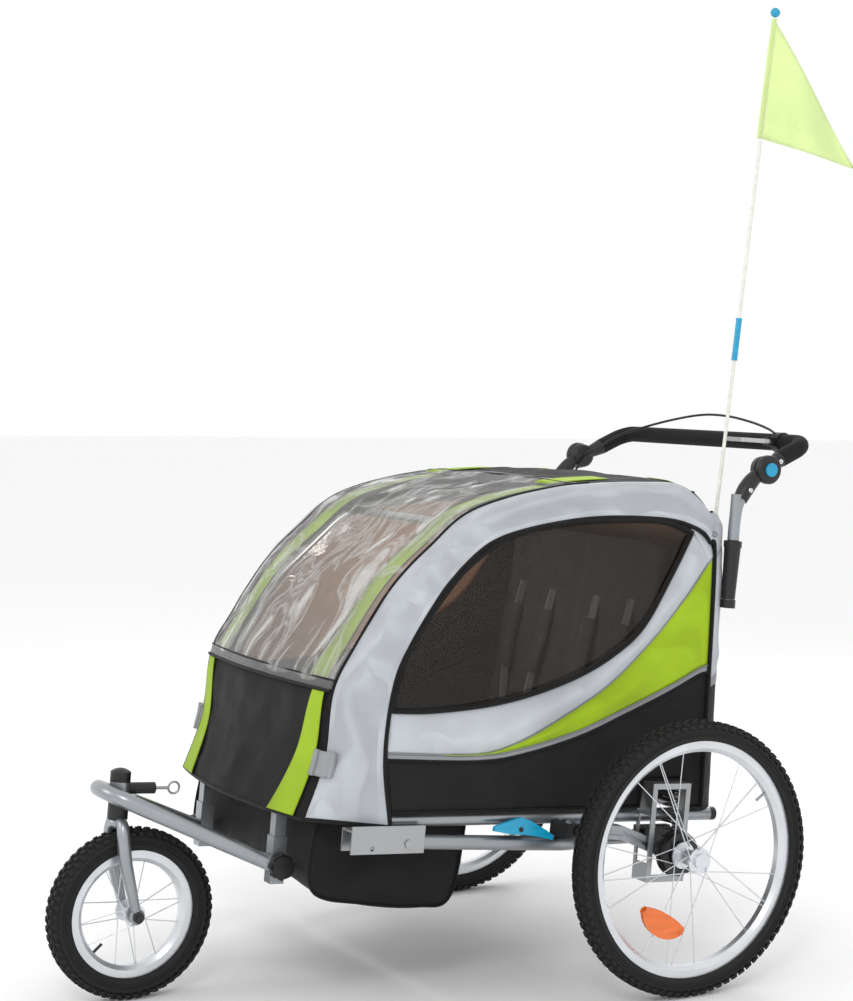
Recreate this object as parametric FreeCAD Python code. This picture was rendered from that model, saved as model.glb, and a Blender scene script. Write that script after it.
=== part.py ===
import FreeCAD, Part
import math
import os

# Child bicycle trailer in its jogger set-up.
# Every piece is drawn level: X forward along the floor rails, Y to the left, Z up, with the rear
# axle as the origin. The finished trailer is then tipped nose-up until both tyres touch the floor,
# and moved so that the middle of its footprint is the origin.

V = FreeCAD.Vector

# ---- rear wheels and their suspension -------------------------------------------------------
REAR_TYRE_R = 244.0
REAR_TYRE_W = 42.0
REAR_RIM_R = 209.5
REAR_WHEEL_Y = 405.0
REAR_HUB_LENGTH = 50.0
REAR_AXLE_R = 6.0
ARM_PIVOT_X = 206.0
ARM_PIVOT_Z = 41.0
ARM_THICKNESS = 26.0
ARM_HALF_HEIGHT = 12.0
BOX_WIDTH = 82.0
BOX_HEIGHT = 175.0
BOX_FRONT_X = 55.0
BOX_TOP_Z = 122.0
SHEET_METAL = 3.0
SPRING_R = 14.7
DRUM_R = 38.0
DRUM_THICKNESS = 18.0

# ---- front wheel, fork and jogger bar -------------------------------------------------------
FRONT_TYRE_R = 148.5
FRONT_TYRE_W = 45.0
FRONT_RIM_R = 110.5
FRONT_AXLE_X = 876.0
FRONT_AXLE_Z = -157.0
FRONT_AXLE_R = 5.0
TRAIL = 37.0
FORK_INNER_Y = 29.0
FORK_PLATE = 5.0
STEERER_R = 10.0
HEAD_R = 17.5
HEAD_BOTTOM_Z = 35.0
HEAD_TOP_Z = 70.0
CUP_HEIGHT = 29.0
CAP_HEIGHT = 23.0
JOGGER_BAR_R = 13.5
POST_Y = 152.0
POST_X = 683.0
POST_SIDE = 20.0
SOCKET_SIDE = 25.0
SOCKET_TOP_Z = 3.0
SOCKET_HEIGHT = 80.0
KNOB_R = 23.0
KNOB_Z = -45.0

# ---- floor frame and hoops ------------------------------------------------------------------
RAIL_R = 12.0
RAIL_Y = 305.0
RAIL_Z = 58.0
RAIL_REAR_X = -106.0
CAP_LENGTH = 12.0
FRONT_TUBE_X = 668.0
CROSS_R = 10.0
HOOP_R = 9.0
TUBE_WALL = 1.8
SEAT_TUBE_Z = 440.0

# ---- cabin cover ----------------------------------------------------------------------------
COVER = 4.0
WINDOW_FILM = 2.0
COVER_BOTTOM_Z = 50.0
SIDE_BOTTOM_Y = 325.0
SIDE_LEAN = 0.048
ARCH_Y = 250.0
FRONT_BULGE = 33.0

# ---- push handle ----------------------------------------------------------------------------
HANDLE_POST_X = -112.0
HANDLE_POST_Y = 304.0
HANDLE_POST_R = 10.5
HANDLE_POST_TOP_Z = 641.0
HANDLE_POST_FOOT_Z = 434.0
STAY_R = 7.0
HANDLE_PIVOT_X = -173.0
HANDLE_PIVOT_Z = 690.0
PIVOT_HOUSING_R = 25.0
GRIP_X = -275.0
GRIP_Z = 744.0
GRIP_R = 16.0
GRIP_CORE_R = 10.9
GRIP_Y = 291.0
BUTTON_R = 12.5
BUTTON_TRAVEL = 3.5

# ---- tow arm --------------------------------------------------------------------------------
TOW_R = 12.5
TOW_Y = 314.0
TOW_HINGE_X = 530.0
TOW_HINGE_Z = 22.8
TOW_PIN_R = 4.0
LOCK_BORE_X = 598.0
LOCK_BORE_Z = 16.0
LOCK_BORE_R = 4.0
BRACKET_REAR_X = 500.0
BRACKET_FRONT_X = 637.0

# ---- flag -----------------------------------------------------------------------------------
FLAG_Y = 262.0
FLAG_R = 3.0
FLAG_FOOT = (-94.0, 440.0)
FLAG_TOP = (-138.0, 1524.0)
FLAG_BALL_R = 9.0

# ---- fits -----------------------------------------------------------------------------------
RUN = 0.05
SLIDE = 0.1
SEAT = 0.3

NODES = {}


def keep(name, *shapes):
    """Store one node: a single solid or a group of separate solids."""
    NODES[name] = list(shapes)


def box(x0, x1, y0, y1, z0, z1):
    return Part.makeBox(x1 - x0, y1 - y0, z1 - z0, V(x0, y0, z0))


def rod(a, b, radius):
    start, end = V(*a), V(*b)
    return Part.makeCylinder(radius, (end - start).Length, start, end - start)


def rod_y(x, z, y0, y1, radius):
    return rod((x, y0, z), (x, y1, z), radius)


def ring_y(x, z, y0, y1, outer, inner):
    return rod_y(x, z, y0, y1, outer).cut(rod_y(x, z, y0 - 1, y1 + 1, inner))


def mirrored(shape):
    return shape.mirror(V(0, 0, 0), V(0, 1, 0))


def pair(shape):
    return [shape, mirrored(shape)]


def plate(outline, y0, y1):
    """Extrude a closed X-Z outline along Y."""
    points = [V(x, y0, z) for x, z in outline]
    face = Part.Face(Part.makePolygon(points + points[:1]))
    return face.extrude(V(0, y1 - y0, 0))


def slab(outline, z0, z1):
    """Extrude a closed X-Y outline along Z."""
    points = [V(x, y, z0) for x, y in outline]
    face = Part.Face(Part.makePolygon(points + points[:1]))
    return face.extrude(V(0, 0, z1 - z0))


def route(points, bend):
    """A wire of straight runs joined by tangent arcs, each no larger than its runs allow."""
    corners = [V(*p) for p in points]
    edges = []
    start = corners[0]
    for before, corner, after in zip(corners, corners[1:], corners[2:]):
        into = (corner - before).normalize()
        out = (after - corner).normalize()
        half = into.getAngle(out) / 2
        room = 0.45 * min((corner - before).Length, (after - corner).Length)
        cut = min(bend * math.tan(half), room)
        radius = cut / math.tan(half)
        first, last = corner - into * cut, corner + out * cut
        inward = (out - into).normalize()
        middle = corner + inward * (radius / math.cos(half) - radius)
        edges.append(Part.LineSegment(start, first).toShape())
        edges.append(Part.Arc(first, middle, last).toShape())
        start = last
    edges.append(Part.LineSegment(start, corners[-1]).toShape())
    return Part.Wire(edges)


def sweep(points, radius, bend):
    wire = route(points, bend)
    direction = V(*points[1]) - V(*points[0])
    circle = Part.Wire(Part.makeCircle(radius, V(*points[0]), direction))
    return wire.makePipeShell([circle], True, True)


def tube(points, radius, wall, bend):
    return sweep(points, radius, bend).cut(sweep(points, radius - wall, bend))


def turned(profile, x, z, y):
    """Turn a closed (radius, offset) profile about the Y axis through x, z."""
    edges = []
    for item in profile:
        ends = [V(x + r, y + offset, z) for r, offset in item]
        if len(ends) == 2:
            edges.append(Part.LineSegment(*ends).toShape())
        else:
            edges.append(Part.Arc(*ends).toShape())
    face = Part.Face(Part.Wire(edges))
    return face.revolve(V(x, 0, z), V(0, 1, 0), 360)


# ---- wheels -----------------------------------------------------------------------------------
def tyre(x, z, y, outer, width, flange):
    """A hollow tyre whose beads stand inside the rim's flanges."""
    section = width / 2
    major = outer - section
    shoulder = flange + 0.2
    side = math.sqrt(section ** 2 - (major - shoulder) ** 2)
    bead, foot, inner_top = flange - 9.5, 7.0, outer - 3.5
    step = shoulder + 3.5
    a = (shoulder, side)
    b = (shoulder, -side)
    profile = [
        [a, (outer, 0), b],
        [b, (shoulder, -10.9)],
        [(shoulder, -10.9), (bead, -10.9)],
        [(bead, -10.9), (bead, -foot)],
        [(bead, -foot), (step, -9.5)],
        [(step, -9.5), (inner_top, 0), (step, 9.5)],
        [(step, 9.5), (bead, foot)],
        [(bead, foot), (bead, 10.9)],
        [(bead, 10.9), (shoulder, 10.9)],
        [(shoulder, 10.9), a],
    ]
    return turned(profile, x, z, y)


def rim(x, z, y, flange):
    """A box-section rim with two upright flanges."""
    lip, wall, floor, keel = 12.5, 11.1, flange - 12.5, flange - 20.5
    points = [(flange, lip), (flange, wall), (floor, wall), (floor, -wall), (flange, -wall),
              (flange, -lip), (floor - 1, -lip), (keel, -6), (keel, 6), (floor - 1, lip)]
    profile = [list(pair_) for pair_ in zip(points, points[1:] + points[:1])]
    return turned(profile, x, z, y)


def hub(x, z, y, length, flange_r, barrel_r, axle_r, bearing_r):
    """Barrel with two flanges, and a bearing ring pressed in at each end."""
    half = length / 2
    body = rod_y(x, z, y - half, y + half, barrel_r)
    for side in (-1, 1):
        edge = y + side * half
        body = body.fuse(rod_y(x, z, min(edge, edge - side * 3), max(edge, edge - side * 3), flange_r))
    body = body.cut(rod_y(x, z, y - half - 1, y + half + 1, bearing_r - 2))
    rings = []
    for side in (-1, 1):
        edge = y + side * half
        low, high = min(edge, edge - side * 7), max(edge, edge - side * 7)
        body = body.cut(rod_y(x, z, low, high, bearing_r))
        rings.append(ring_y(x, z, low, high, bearing_r, axle_r + RUN))
    return [body] + rings


def spokes(x, z, y, count, hub_r, rim_r, flange_y, sweep_angle):
    """Crossed wire spokes, leading ones outside each flange and trailing ones inside it."""
    radius, made = 1.0, []
    for i in range(count):
        side = 1 if i % 2 == 0 else -1
        lead = 1 if (i // 2) % 2 == 0 else -1
        at_hub = 2 * math.pi * i / count
        at_rim = at_hub + lead * sweep_angle
        face = flange_y + radius + 1.3 if lead > 0 else flange_y - 3 - radius - 0.3
        start = (x + hub_r * math.cos(at_hub), y + side * face, z + hub_r * math.sin(at_hub))
        end = (x + rim_r * math.cos(at_rim), y + side * lead_offset(lead), z + rim_r * math.sin(at_rim))
        made.append(rod(start, end, radius))
    return made


def lead_offset(lead):
    return 4.5 if lead > 0 else 1.5


def make_rear_wheels():
    flange_y = REAR_HUB_LENGTH / 2
    for side, name in ((1, "left"), (-1, "right")):
        y = side * REAR_WHEEL_Y
        keep("rear_tyre_" + name, tyre(0, 0, y, REAR_TYRE_R, REAR_TYRE_W, REAR_RIM_R))
        cap_y = y + side * flange_y
        cap = rod_y(0, 0, min(cap_y, cap_y + side * 5), max(cap_y, cap_y + side * 5), 12.5)
        keep("rear_hub_" + name, *hub(0, 0, y, REAR_HUB_LENGTH, 23.5, 14.0, REAR_AXLE_R, 11.0), cap)
        wires = spokes(0, 0, y, 20, 20.0, REAR_RIM_R - 20.7, flange_y, math.radians(62))
        keep("rear_rim_" + name, rim(0, 0, y, REAR_RIM_R), *wires)


def make_front_wheel():
    x, z = FRONT_AXLE_X, FRONT_AXLE_Z
    keep("front_tyre", tyre(x, z, 0, FRONT_TYRE_R, FRONT_TYRE_W, FRONT_RIM_R))
    keep("front_hub", *hub(x, z, 0, 44.0, 19.0, 12.0, FRONT_AXLE_R, 9.0))
    wires = spokes(x, z, 0, 16, 16.0, FRONT_RIM_R - 20.7, 22.0, math.radians(55))
    keep("front_rim", rim(x, z, 0, FRONT_RIM_R), *wires)


# ---- suspension -------------------------------------------------------------------------------
ARM_INNER_Y = RAIL_Y + RAIL_R + 3
ARM_OUTER_Y = ARM_INNER_Y + ARM_THICKNESS
BOX_OUTER_Y = ARM_OUTER_Y + 7
SPRING_Y = (ARM_INNER_Y + ARM_OUTER_Y) / 2
AXLE_BLOCK_TOP_Z = 10.0
DRUM_Y = BOX_OUTER_Y + 4


def trailing_arm():
    h = ARM_HALF_HEIGHT
    outline = [(ARM_PIVOT_X, ARM_PIVOT_Z - h), (105, 34 - h), (17, -h), (17, 14), (105, 34 + h),
               (ARM_PIVOT_X, ARM_PIVOT_Z + h)]
    arm = plate(outline, ARM_INNER_Y, ARM_OUTER_Y)
    arm = arm.fuse(rod_y(ARM_PIVOT_X, ARM_PIVOT_Z, ARM_INNER_Y, ARM_OUTER_Y, 14.0))
    groove = plate([(170, 35), (105, 29), (30, 0), (30, 6), (105, 37), (170, 43)],
                   ARM_OUTER_Y - 5, ARM_OUTER_Y + 1)
    return arm.cut(groove).cut(rod_y(ARM_PIVOT_X, ARM_PIVOT_Z, 200, 400, 5.0 + RUN))


def axle_block():
    block = box(-16, 16.9, ARM_INNER_Y, ARM_OUTER_Y, -14, AXLE_BLOCK_TOP_Z)
    axle = rod_y(0, 0, ARM_OUTER_Y - 1, REAR_WHEEL_Y + REAR_HUB_LENGTH / 2 - 1, REAR_AXLE_R)
    shoulder = rod_y(0, 0, ARM_OUTER_Y - 1, DRUM_Y - 0.1, 10.0)
    return block.fuse(axle).fuse(shoulder)


def brake_drum():
    y0, y1 = DRUM_Y, DRUM_Y + DRUM_THICKNESS
    drum = rod_y(0, 0, y0, y1, DRUM_R).fuse(rod_y(0, 0, y0, y0 + 6, DRUM_R + 3))
    return drum.cut(rod_y(0, 0, y0 - 1, y1 + 1, REAR_AXLE_R + SLIDE))


def suspension_box():
    rear_x = BOX_FRONT_X - BOX_WIDTH
    low, top = BOX_TOP_Z - BOX_HEIGHT, BOX_TOP_Z
    inner_y = RAIL_Y + 5
    body = box(rear_x, BOX_FRONT_X, inner_y, BOX_OUTER_Y, low, top)
    t, border = SHEET_METAL, 10
    hollow = box(rear_x + t, BOX_FRONT_X - t, inner_y - 1, BOX_OUTER_Y - t, low + t, top - t)
    window = box(rear_x + border, BOX_FRONT_X - border, 300, 400, low + border, top - border)
    notch = box(BOX_FRONT_X - t - 1, BOX_FRONT_X + 1, ARM_INNER_Y - 2, BOX_OUTER_Y - t, -20, 64)
    saddle = rod((rear_x - 5, RAIL_Y, RAIL_Z), (BOX_FRONT_X + 5, RAIL_Y, RAIL_Z), RAIL_R + SLIDE)
    return body.cut(hollow).cut(window).cut(notch).cut(saddle)


def spring():
    """Sleeve of the coil's size between the axle block and the top of the box."""
    sleeve = Part.makeCylinder(SPRING_R, BOX_TOP_Z - SHEET_METAL - AXLE_BLOCK_TOP_Z - 0.4,
                               V(0, SPRING_Y, AXLE_BLOCK_TOP_Z + 0.2))
    bore = Part.makeCylinder(SPRING_R - 5, 200, V(0, SPRING_Y, -50))
    return sleeve.cut(bore)


def arm_pivot():
    """Clevis block on the rail's outer side, with the pin that the trailing arm turns on."""
    low, high = ARM_PIVOT_Z - ARM_HALF_HEIGHT, ARM_PIVOT_Z + ARM_HALF_HEIGHT
    rail_side = RAIL_Y + RAIL_R + SLIDE
    block = box(ARM_PIVOT_X + 16, ARM_PIVOT_X + 34, rail_side - 4, ARM_OUTER_Y + 6, low, high)
    cheek = box(ARM_PIVOT_X - 14, ARM_PIVOT_X + 34, ARM_OUTER_Y + 1, ARM_OUTER_Y + 6, low, high)
    pin = rod_y(ARM_PIVOT_X, ARM_PIVOT_Z, rail_side - 4, ARM_OUTER_Y + 8, 5.0)
    head = rod_y(ARM_PIVOT_X, ARM_PIVOT_Z, ARM_OUTER_Y + 6, ARM_OUTER_Y + 10, 9.0)
    rail = rod((0, RAIL_Y, RAIL_Z), (400, RAIL_Y, RAIL_Z), RAIL_R + SLIDE)
    return block.fuse(cheek).fuse(pin).fuse(head).cut(rail)


def make_suspension():
    for name, flip in (("left", lambda s: s), ("right", mirrored)):
        keep("trailing_arm_" + name, flip(trailing_arm()))
        keep("axle_block_" + name, flip(axle_block()))
        keep("brake_drum_" + name, flip(brake_drum()))
        keep("spring_" + name, flip(spring()))
    keep("suspension_boxes", *pair(suspension_box()))
    keep("rail_brackets", *pair(arm_pivot()), latch_base())


# ---- fork, jogger bar and clamps --------------------------------------------------------------
HEAD_X = FRONT_AXLE_X + TRAIL
CUP_BOTTOM_Z = HEAD_BOTTOM_Z - CUP_HEIGHT
BAR_FRONT = (HEAD_X + 33, 0, 56)


def fork():
    y0, y1 = FORK_INNER_Y, FORK_INNER_Y + FORK_PLATE
    x, z = FRONT_AXLE_X, FRONT_AXLE_Z
    leg = plate([(HEAD_X - 22, CUP_BOTTOM_Z - 0.4), (HEAD_X + 20, CUP_BOTTOM_Z - 0.4),
                 (HEAD_X + 16, -40), (HEAD_X + 6, -85), (x + 18, z + 20), (x + 15, z), (x - 15, z),
                 (x - 16, z + 20), (HEAD_X - 22, -85), (HEAD_X - 10, -40)], y0, y1)
    leg = leg.fuse(rod_y(x, z, y0, y1, 15.0)).cut(rod_y(x, z, 0, 99, FRONT_AXLE_R + RUN))
    crown = box(HEAD_X - 22, HEAD_X + 20, -y1, y1, -4, CUP_BOTTOM_Z - 0.4)
    steerer = rod((HEAD_X, 0, 0), (HEAD_X, 0, HEAD_TOP_Z + 4), STEERER_R)
    return crown.fuse(leg).fuse(mirrored(leg)).fuse(steerer)


def jogger_bar():
    """One tube from socket to socket round the head tube, with the head tube welded inside."""
    foot = (POST_X + SOCKET_SIDE / 2 - 6, POST_Y, KNOB_Z)
    nose = (BAR_FRONT[0], 40, BAR_FRONT[2])
    points = [foot, nose, (nose[0], -nose[1], nose[2]), (foot[0], -foot[1], foot[2])]
    bar = sweep(points, JOGGER_BAR_R, 55)
    head = rod((HEAD_X, 0, HEAD_BOTTOM_Z), (HEAD_X, 0, HEAD_TOP_Z), HEAD_R)
    web = slab([(HEAD_X - 30, -55), (HEAD_X + 24, -32), (HEAD_X + 24, 32), (HEAD_X - 30, 55)],
               HEAD_BOTTOM_Z + 5, HEAD_BOTTOM_Z + 11)
    bore = rod((HEAD_X, 0, 0), (HEAD_X, 0, 99), STEERER_R + RUN)
    sockets = box(600, POST_X + SOCKET_SIDE / 2 + 0.05, -250, 250, -200, 100)
    return bar.fuse(web).fuse(head).cut(bore).cut(sockets)


def head_cups():
    cup = rod((HEAD_X, 0, CUP_BOTTOM_Z), (HEAD_X, 0, HEAD_BOTTOM_Z), HEAD_R)
    cup = cup.cut(rod((HEAD_X, 0, 0), (HEAD_X, 0, 99), STEERER_R + RUN))
    cap = rod((HEAD_X, 0, HEAD_TOP_Z), (HEAD_X, 0, HEAD_TOP_Z + CAP_HEIGHT), HEAD_R)
    dome = Part.makeSphere(CAP_HEIGHT + 4, V(HEAD_X, 0, HEAD_TOP_Z - 4))
    cap = cap.common(dome).cut(rod((HEAD_X, 0, 60), (HEAD_X, 0, HEAD_TOP_Z + 5), STEERER_R + RUN))
    return cup, cap


LOCK_Z = 58.0
LOCK_REAR_X = HEAD_X - 63


def lock_housing():
    body = rod((LOCK_REAR_X, 0, LOCK_Z), (HEAD_X - HEAD_R + 2, 0, LOCK_Z), 10.0)
    head = rod((HEAD_X, 0, 0), (HEAD_X, 0, 99), HEAD_R + 0.02)
    return body.cut(head).cut(rod((800, 0, LOCK_Z), (HEAD_X, 0, LOCK_Z), 3.0 + SLIDE))


def lock_plunger():
    pin = rod((LOCK_REAR_X - 26, 0, LOCK_Z), (HEAD_X - HEAD_R - 1, 0, LOCK_Z), 3.0)
    ring = Part.makeTorus(10, 2, V(LOCK_REAR_X - 36, 0, LOCK_Z), V(0, 1, 0))
    return pin.fuse(ring)


def jogger_post(side):
    half = POST_SIDE / 2
    y = side * POST_Y
    post = box(POST_X - half, POST_X + half, y - half, y + half,
               SOCKET_TOP_Z + 4 - SOCKET_HEIGHT, RAIL_Z)
    return post.cut(rod((POST_X - 15, -300, RAIL_Z), (POST_X - 15, 300, RAIL_Z), RAIL_R + 0.02))


def jogger_socket(side):
    half, inner = SOCKET_SIDE / 2, POST_SIDE / 2 + SLIDE
    y = side * POST_Y
    low = SOCKET_TOP_Z - SOCKET_HEIGHT
    body = box(POST_X - half, POST_X + half, y - half, y + half, low, SOCKET_TOP_Z)
    return body.cut(box(POST_X - inner, POST_X + inner, y - inner, y + inner, low + 2, 99))


def clamp_knob(side):
    """Lobed hand-knob whose screw presses on the socket's outer face."""
    face = POST_Y + SOCKET_SIDE / 2 + 0.3
    body = rod_y(POST_X, KNOB_Z, face + 5, face + 17, KNOB_R - 3)
    for i in range(8):
        a = 2 * math.pi * i / 8
        body = body.fuse(rod_y(POST_X + 18 * math.cos(a), KNOB_Z + 18 * math.sin(a),
                               face + 5, face + 17, 5.0))
    body = body.fuse(rod_y(POST_X, KNOB_Z, face + 17, face + 23, 19.0))
    body = body.fuse(rod_y(POST_X, KNOB_Z, face, face + 6, 9.0))
    return body if side > 0 else mirrored(body)


def make_front_end():
    keep("front_fork", fork())
    x, z = FRONT_AXLE_X, FRONT_AXLE_Z
    end = FORK_INNER_Y + FORK_PLATE
    axle = rod_y(x, z, -end - 10, end + 10, FRONT_AXLE_R)
    for side in (-1, 1):
        low, high = sorted((side * (end + 0.1), side * (end + 8)))
        axle = axle.fuse(rod_y(x, z, low, high, 9.5))
    keep("front_axle", axle)
    keep("jogger_bar", jogger_bar())
    keep("head_cups", *head_cups(), lock_housing())
    keep("lock_plunger", lock_plunger())
    keep("jogger_posts", jogger_post(1), jogger_post(-1), jogger_socket(1), jogger_socket(-1))
    keep("clamp_knob_left", clamp_knob(1))
    keep("clamp_knob_right", clamp_knob(-1))


# ---- floor frame and hoops --------------------------------------------------------------------
RAIL_TOP_Z = RAIL_Z + RAIL_R
CROSS_Z = RAIL_TOP_Z - CROSS_R
REAR_CROSS_X = -94.0
HOOP_POINTS = [(610, 276, RAIL_TOP_Z + 0.3), (604, 271, 250), (521, 268, 412), (384, 266, 550),
               (50, 265, 609), (-62, 265, 575), (REAR_CROSS_X, 277, RAIL_TOP_Z + 0.3)]


def floor_frame():
    half = [(RAIL_REAR_X, RAIL_Y, RAIL_Z), (570, RAIL_Y, RAIL_Z), (FRONT_TUBE_X, 238, RAIL_Z)]
    points = half + [(x, -y, z) for x, y, z in reversed(half)]
    return tube(points, RAIL_R, TUBE_WALL, 60)


def cross_tube(x, z, half_width, radius):
    return rod((x, -half_width, z), (x, half_width, z), radius)


def make_frame():
    keep("floor_frame", floor_frame())
    caps = []
    for side in (-1, 1):
        cap = rod((RAIL_REAR_X - CAP_LENGTH, side * RAIL_Y, RAIL_Z),
                  (RAIL_REAR_X, side * RAIL_Y, RAIL_Z), RAIL_R)
        caps.append(cap)
    keep("rail_end_caps", *caps)
    hoop = sweep(HOOP_POINTS, HOOP_R, 140)
    hoop = hoop.cut(sweep(HOOP_POINTS, HOOP_R - TUBE_WALL, 140))
    keep("cabin_hoops", *pair(hoop))
    rails = rod((-200, RAIL_Y, RAIL_Z), (500, RAIL_Y, RAIL_Z), RAIL_R + 0.05)
    bars = [cross_tube(x, CROSS_Z, RAIL_Y, CROSS_R).cut(rails).cut(mirrored(rails))
            for x in (REAR_CROSS_X, 250.0)]
    solid_hoops = sweep(HOOP_POINTS, HOOP_R, 140)
    for x, z in ((384, 548), (20, 603), (-71, SEAT_TUBE_Z)):
        bar = cross_tube(x, z, 268, 8.0)
        for hoop_shape in pair(solid_hoops):
            bar = bar.cut(hoop_shape)
        bars.append(max(bar.Solids, key=lambda s: s.Volume))
    bars[-1] = bars[-1].fuse(flag_socket())
    keep("cross_tubes", *bars)


def flag_line(z):
    """Height on the flag pole's own line to a point."""
    share = (z - FLAG_FOOT[1]) / (FLAG_TOP[1] - FLAG_FOOT[1])
    return (FLAG_FOOT[0] + share * (FLAG_TOP[0] - FLAG_FOOT[0]), FLAG_Y, z)


def flag_socket():
    """Cup on the seat-back tube that the flag pole stands in."""
    cup = rod(flag_line(SEAT_TUBE_Z - 12), flag_line(SEAT_TUBE_Z + 20), 5.5)
    lug = box(FLAG_FOOT[0], -71, FLAG_Y - 12, FLAG_Y - 4, SEAT_TUBE_Z - 6, SEAT_TUBE_Z + 6)
    return cup.fuse(lug).cut(rod(flag_line(SEAT_TUBE_Z), flag_line(SEAT_TUBE_Z + 60), FLAG_R + SLIDE))


# ---- flag -------------------------------------------------------------------------------------
def make_flag():
    top = FLAG_TOP[1]
    ferrule = rod(flag_line(886), flag_line(960), 5.0).cut(rod(flag_line(800), flag_line(999), FLAG_R + RUN))
    ball = Part.makeSphere(FLAG_BALL_R, V(*flag_line(top)))
    ball = ball.cut(rod(flag_line(top - 30), flag_line(top), FLAG_R + RUN))
    pole = rod(flag_line(SEAT_TUBE_Z), flag_line(top), FLAG_R)
    keep("flag_pole", pole, ferrule, ball)
    hoist_low, hoist_high = flag_line(1293), flag_line(1512)
    edge = FLAG_R + 0.3
    outline = [(hoist_low[0] - edge, hoist_low[2]), (hoist_high[0] - edge, hoist_high[2]), (-363, 1269)]
    keep("flag_pennant", plate(outline, FLAG_Y - 0.5, FLAG_Y + 0.5))


# ---- push handle ------------------------------------------------------------------------------
GRIP_ROUTE = [(-190, GRIP_Y, 699), (GRIP_X, GRIP_Y, GRIP_Z), (GRIP_X, -GRIP_Y, GRIP_Z),
              (-190, -GRIP_Y, 699)]
FOAM_ROUTE = [(-214, GRIP_Y, 711.7)] + GRIP_ROUTE[1:3] + [(-214, -GRIP_Y, 711.7)]
GRIP_BEND = 55.0
SPLIT_Y = 303.0
HOUSING_OUTER_Y = 318.0


def lower_arm():
    """Collar on the post's top, and the outer half of the pivot housing."""
    x, z = HANDLE_PIVOT_X, HANDLE_PIVOT_Z
    foot = (HANDLE_POST_X, HANDLE_POST_Y, HANDLE_POST_TOP_Z - 16)
    knee = (HANDLE_POST_X, HANDLE_POST_Y, HANDLE_POST_TOP_Z + 8)
    arm = rod(foot, knee, 13.5).fuse(Part.makeSphere(13.5, V(*knee)))
    middle_y = (SPLIT_Y + HOUSING_OUTER_Y) / 2
    arm = arm.fuse(rod(knee, (x, middle_y + 2, z), 9.0))
    keep_clear = rod_y(x, z, SPLIT_Y - 60, SPLIT_Y, PIVOT_HOUSING_R + 1.5)
    arm = arm.cut(keep_clear).fuse(rod_y(x, z, SPLIT_Y + 0.2, HOUSING_OUTER_Y, PIVOT_HOUSING_R))
    arm = arm.cut(rod_y(x, z, HOUSING_OUTER_Y - 8, HOUSING_OUTER_Y + 20, BUTTON_R + SLIDE))
    arm = arm.cut(rod(foot, (foot[0], foot[1], HANDLE_POST_TOP_Z), HANDLE_POST_R))
    return arm.fuse(rod_y(x, z, SPLIT_Y - 17, SPLIT_Y + 4, 4.0))


def upper_arm():
    """Inner half of the pivot housing, which carries the end of the grip's core tube."""
    x, z = HANDLE_PIVOT_X, HANDLE_PIVOT_Z
    disc = rod_y(x, z, SPLIT_Y - 16, SPLIT_Y, PIVOT_HOUSING_R)
    neck = rod((x - 12, SPLIT_Y - 8, z + 6), (-213, GRIP_Y, 711.2), 13.5)
    outer = box(-400, 0, SPLIT_Y, 400, 500, 900)
    arm = disc.fuse(neck.cut(outer))
    arm = arm.cut(sweep(GRIP_ROUTE, GRIP_CORE_R + 0.02, GRIP_BEND))
    return arm.cut(rod_y(x, z, 200, 400, 4.0 + RUN))


def stay_line():
    """From the foot of a handle post to the hoop beside it."""
    z = HANDLE_POST_FOOT_Z + 7.5
    (x0, y0, z0), (x1, y1, z1) = HOOP_POINTS[-2], HOOP_POINTS[-1]
    share = (z - z0) / (z1 - z0)
    return (HANDLE_POST_X, HANDLE_POST_Y, z), (x0 + (x1 - x0) * share, y0 + (y1 - y0) * share, z)


def make_handle():
    x, y = HANDLE_POST_X, HANDLE_POST_Y
    post = rod((x, y, HANDLE_POST_FOOT_Z), (x, y, HANDLE_POST_TOP_Z), HANDLE_POST_R)
    sleeve = Part.makeCone(12.5, 15.5, 106, V(x, y, 450))
    sleeve = sleeve.fuse(rod((x, y, 544), (x, y, 556), 16.5))
    sleeve = sleeve.cut(rod((x, y, 400), (x, y, 600), HANDLE_POST_R + 0.02))
    clamp = rod((x, y, HANDLE_POST_FOOT_Z), (x, y, HANDLE_POST_FOOT_Z + 15), HANDLE_POST_R + 3.5)
    clamp = clamp.fuse(rod(*stay_line(), STAY_R))
    clamp = clamp.cut(rod((x, y, 400), (x, y, 600), HANDLE_POST_R + 0.02))
    clamp = clamp.cut(sweep(HOOP_POINTS, HOOP_R + 0.02, 140))
    keep("handle_posts", *pair(post))
    keep("handle_sleeves", *pair(sleeve), *pair(clamp))
    keep("handle_lower_arms", *pair(lower_arm()))
    core = tube(GRIP_ROUTE, GRIP_CORE_R, TUBE_WALL, GRIP_BEND)
    keep("handle_upper_arms", *pair(upper_arm()), core)
    foam = sweep(FOAM_ROUTE, GRIP_R, GRIP_BEND)
    keep("grip_foam", foam.cut(sweep(GRIP_ROUTE, GRIP_CORE_R + 0.05, GRIP_BEND)))
    button = rod_y(HANDLE_PIVOT_X, HANDLE_PIVOT_Z, HOUSING_OUTER_Y - 4, HOUSING_OUTER_Y + 5, BUTTON_R)
    keep("handle_button_left", button)
    keep("handle_button_right", mirrored(button))


LEVER_Y = 215.0
LEVER_X = GRIP_X + GRIP_R + 13
LEVER_PIN_R = 2.5


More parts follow.
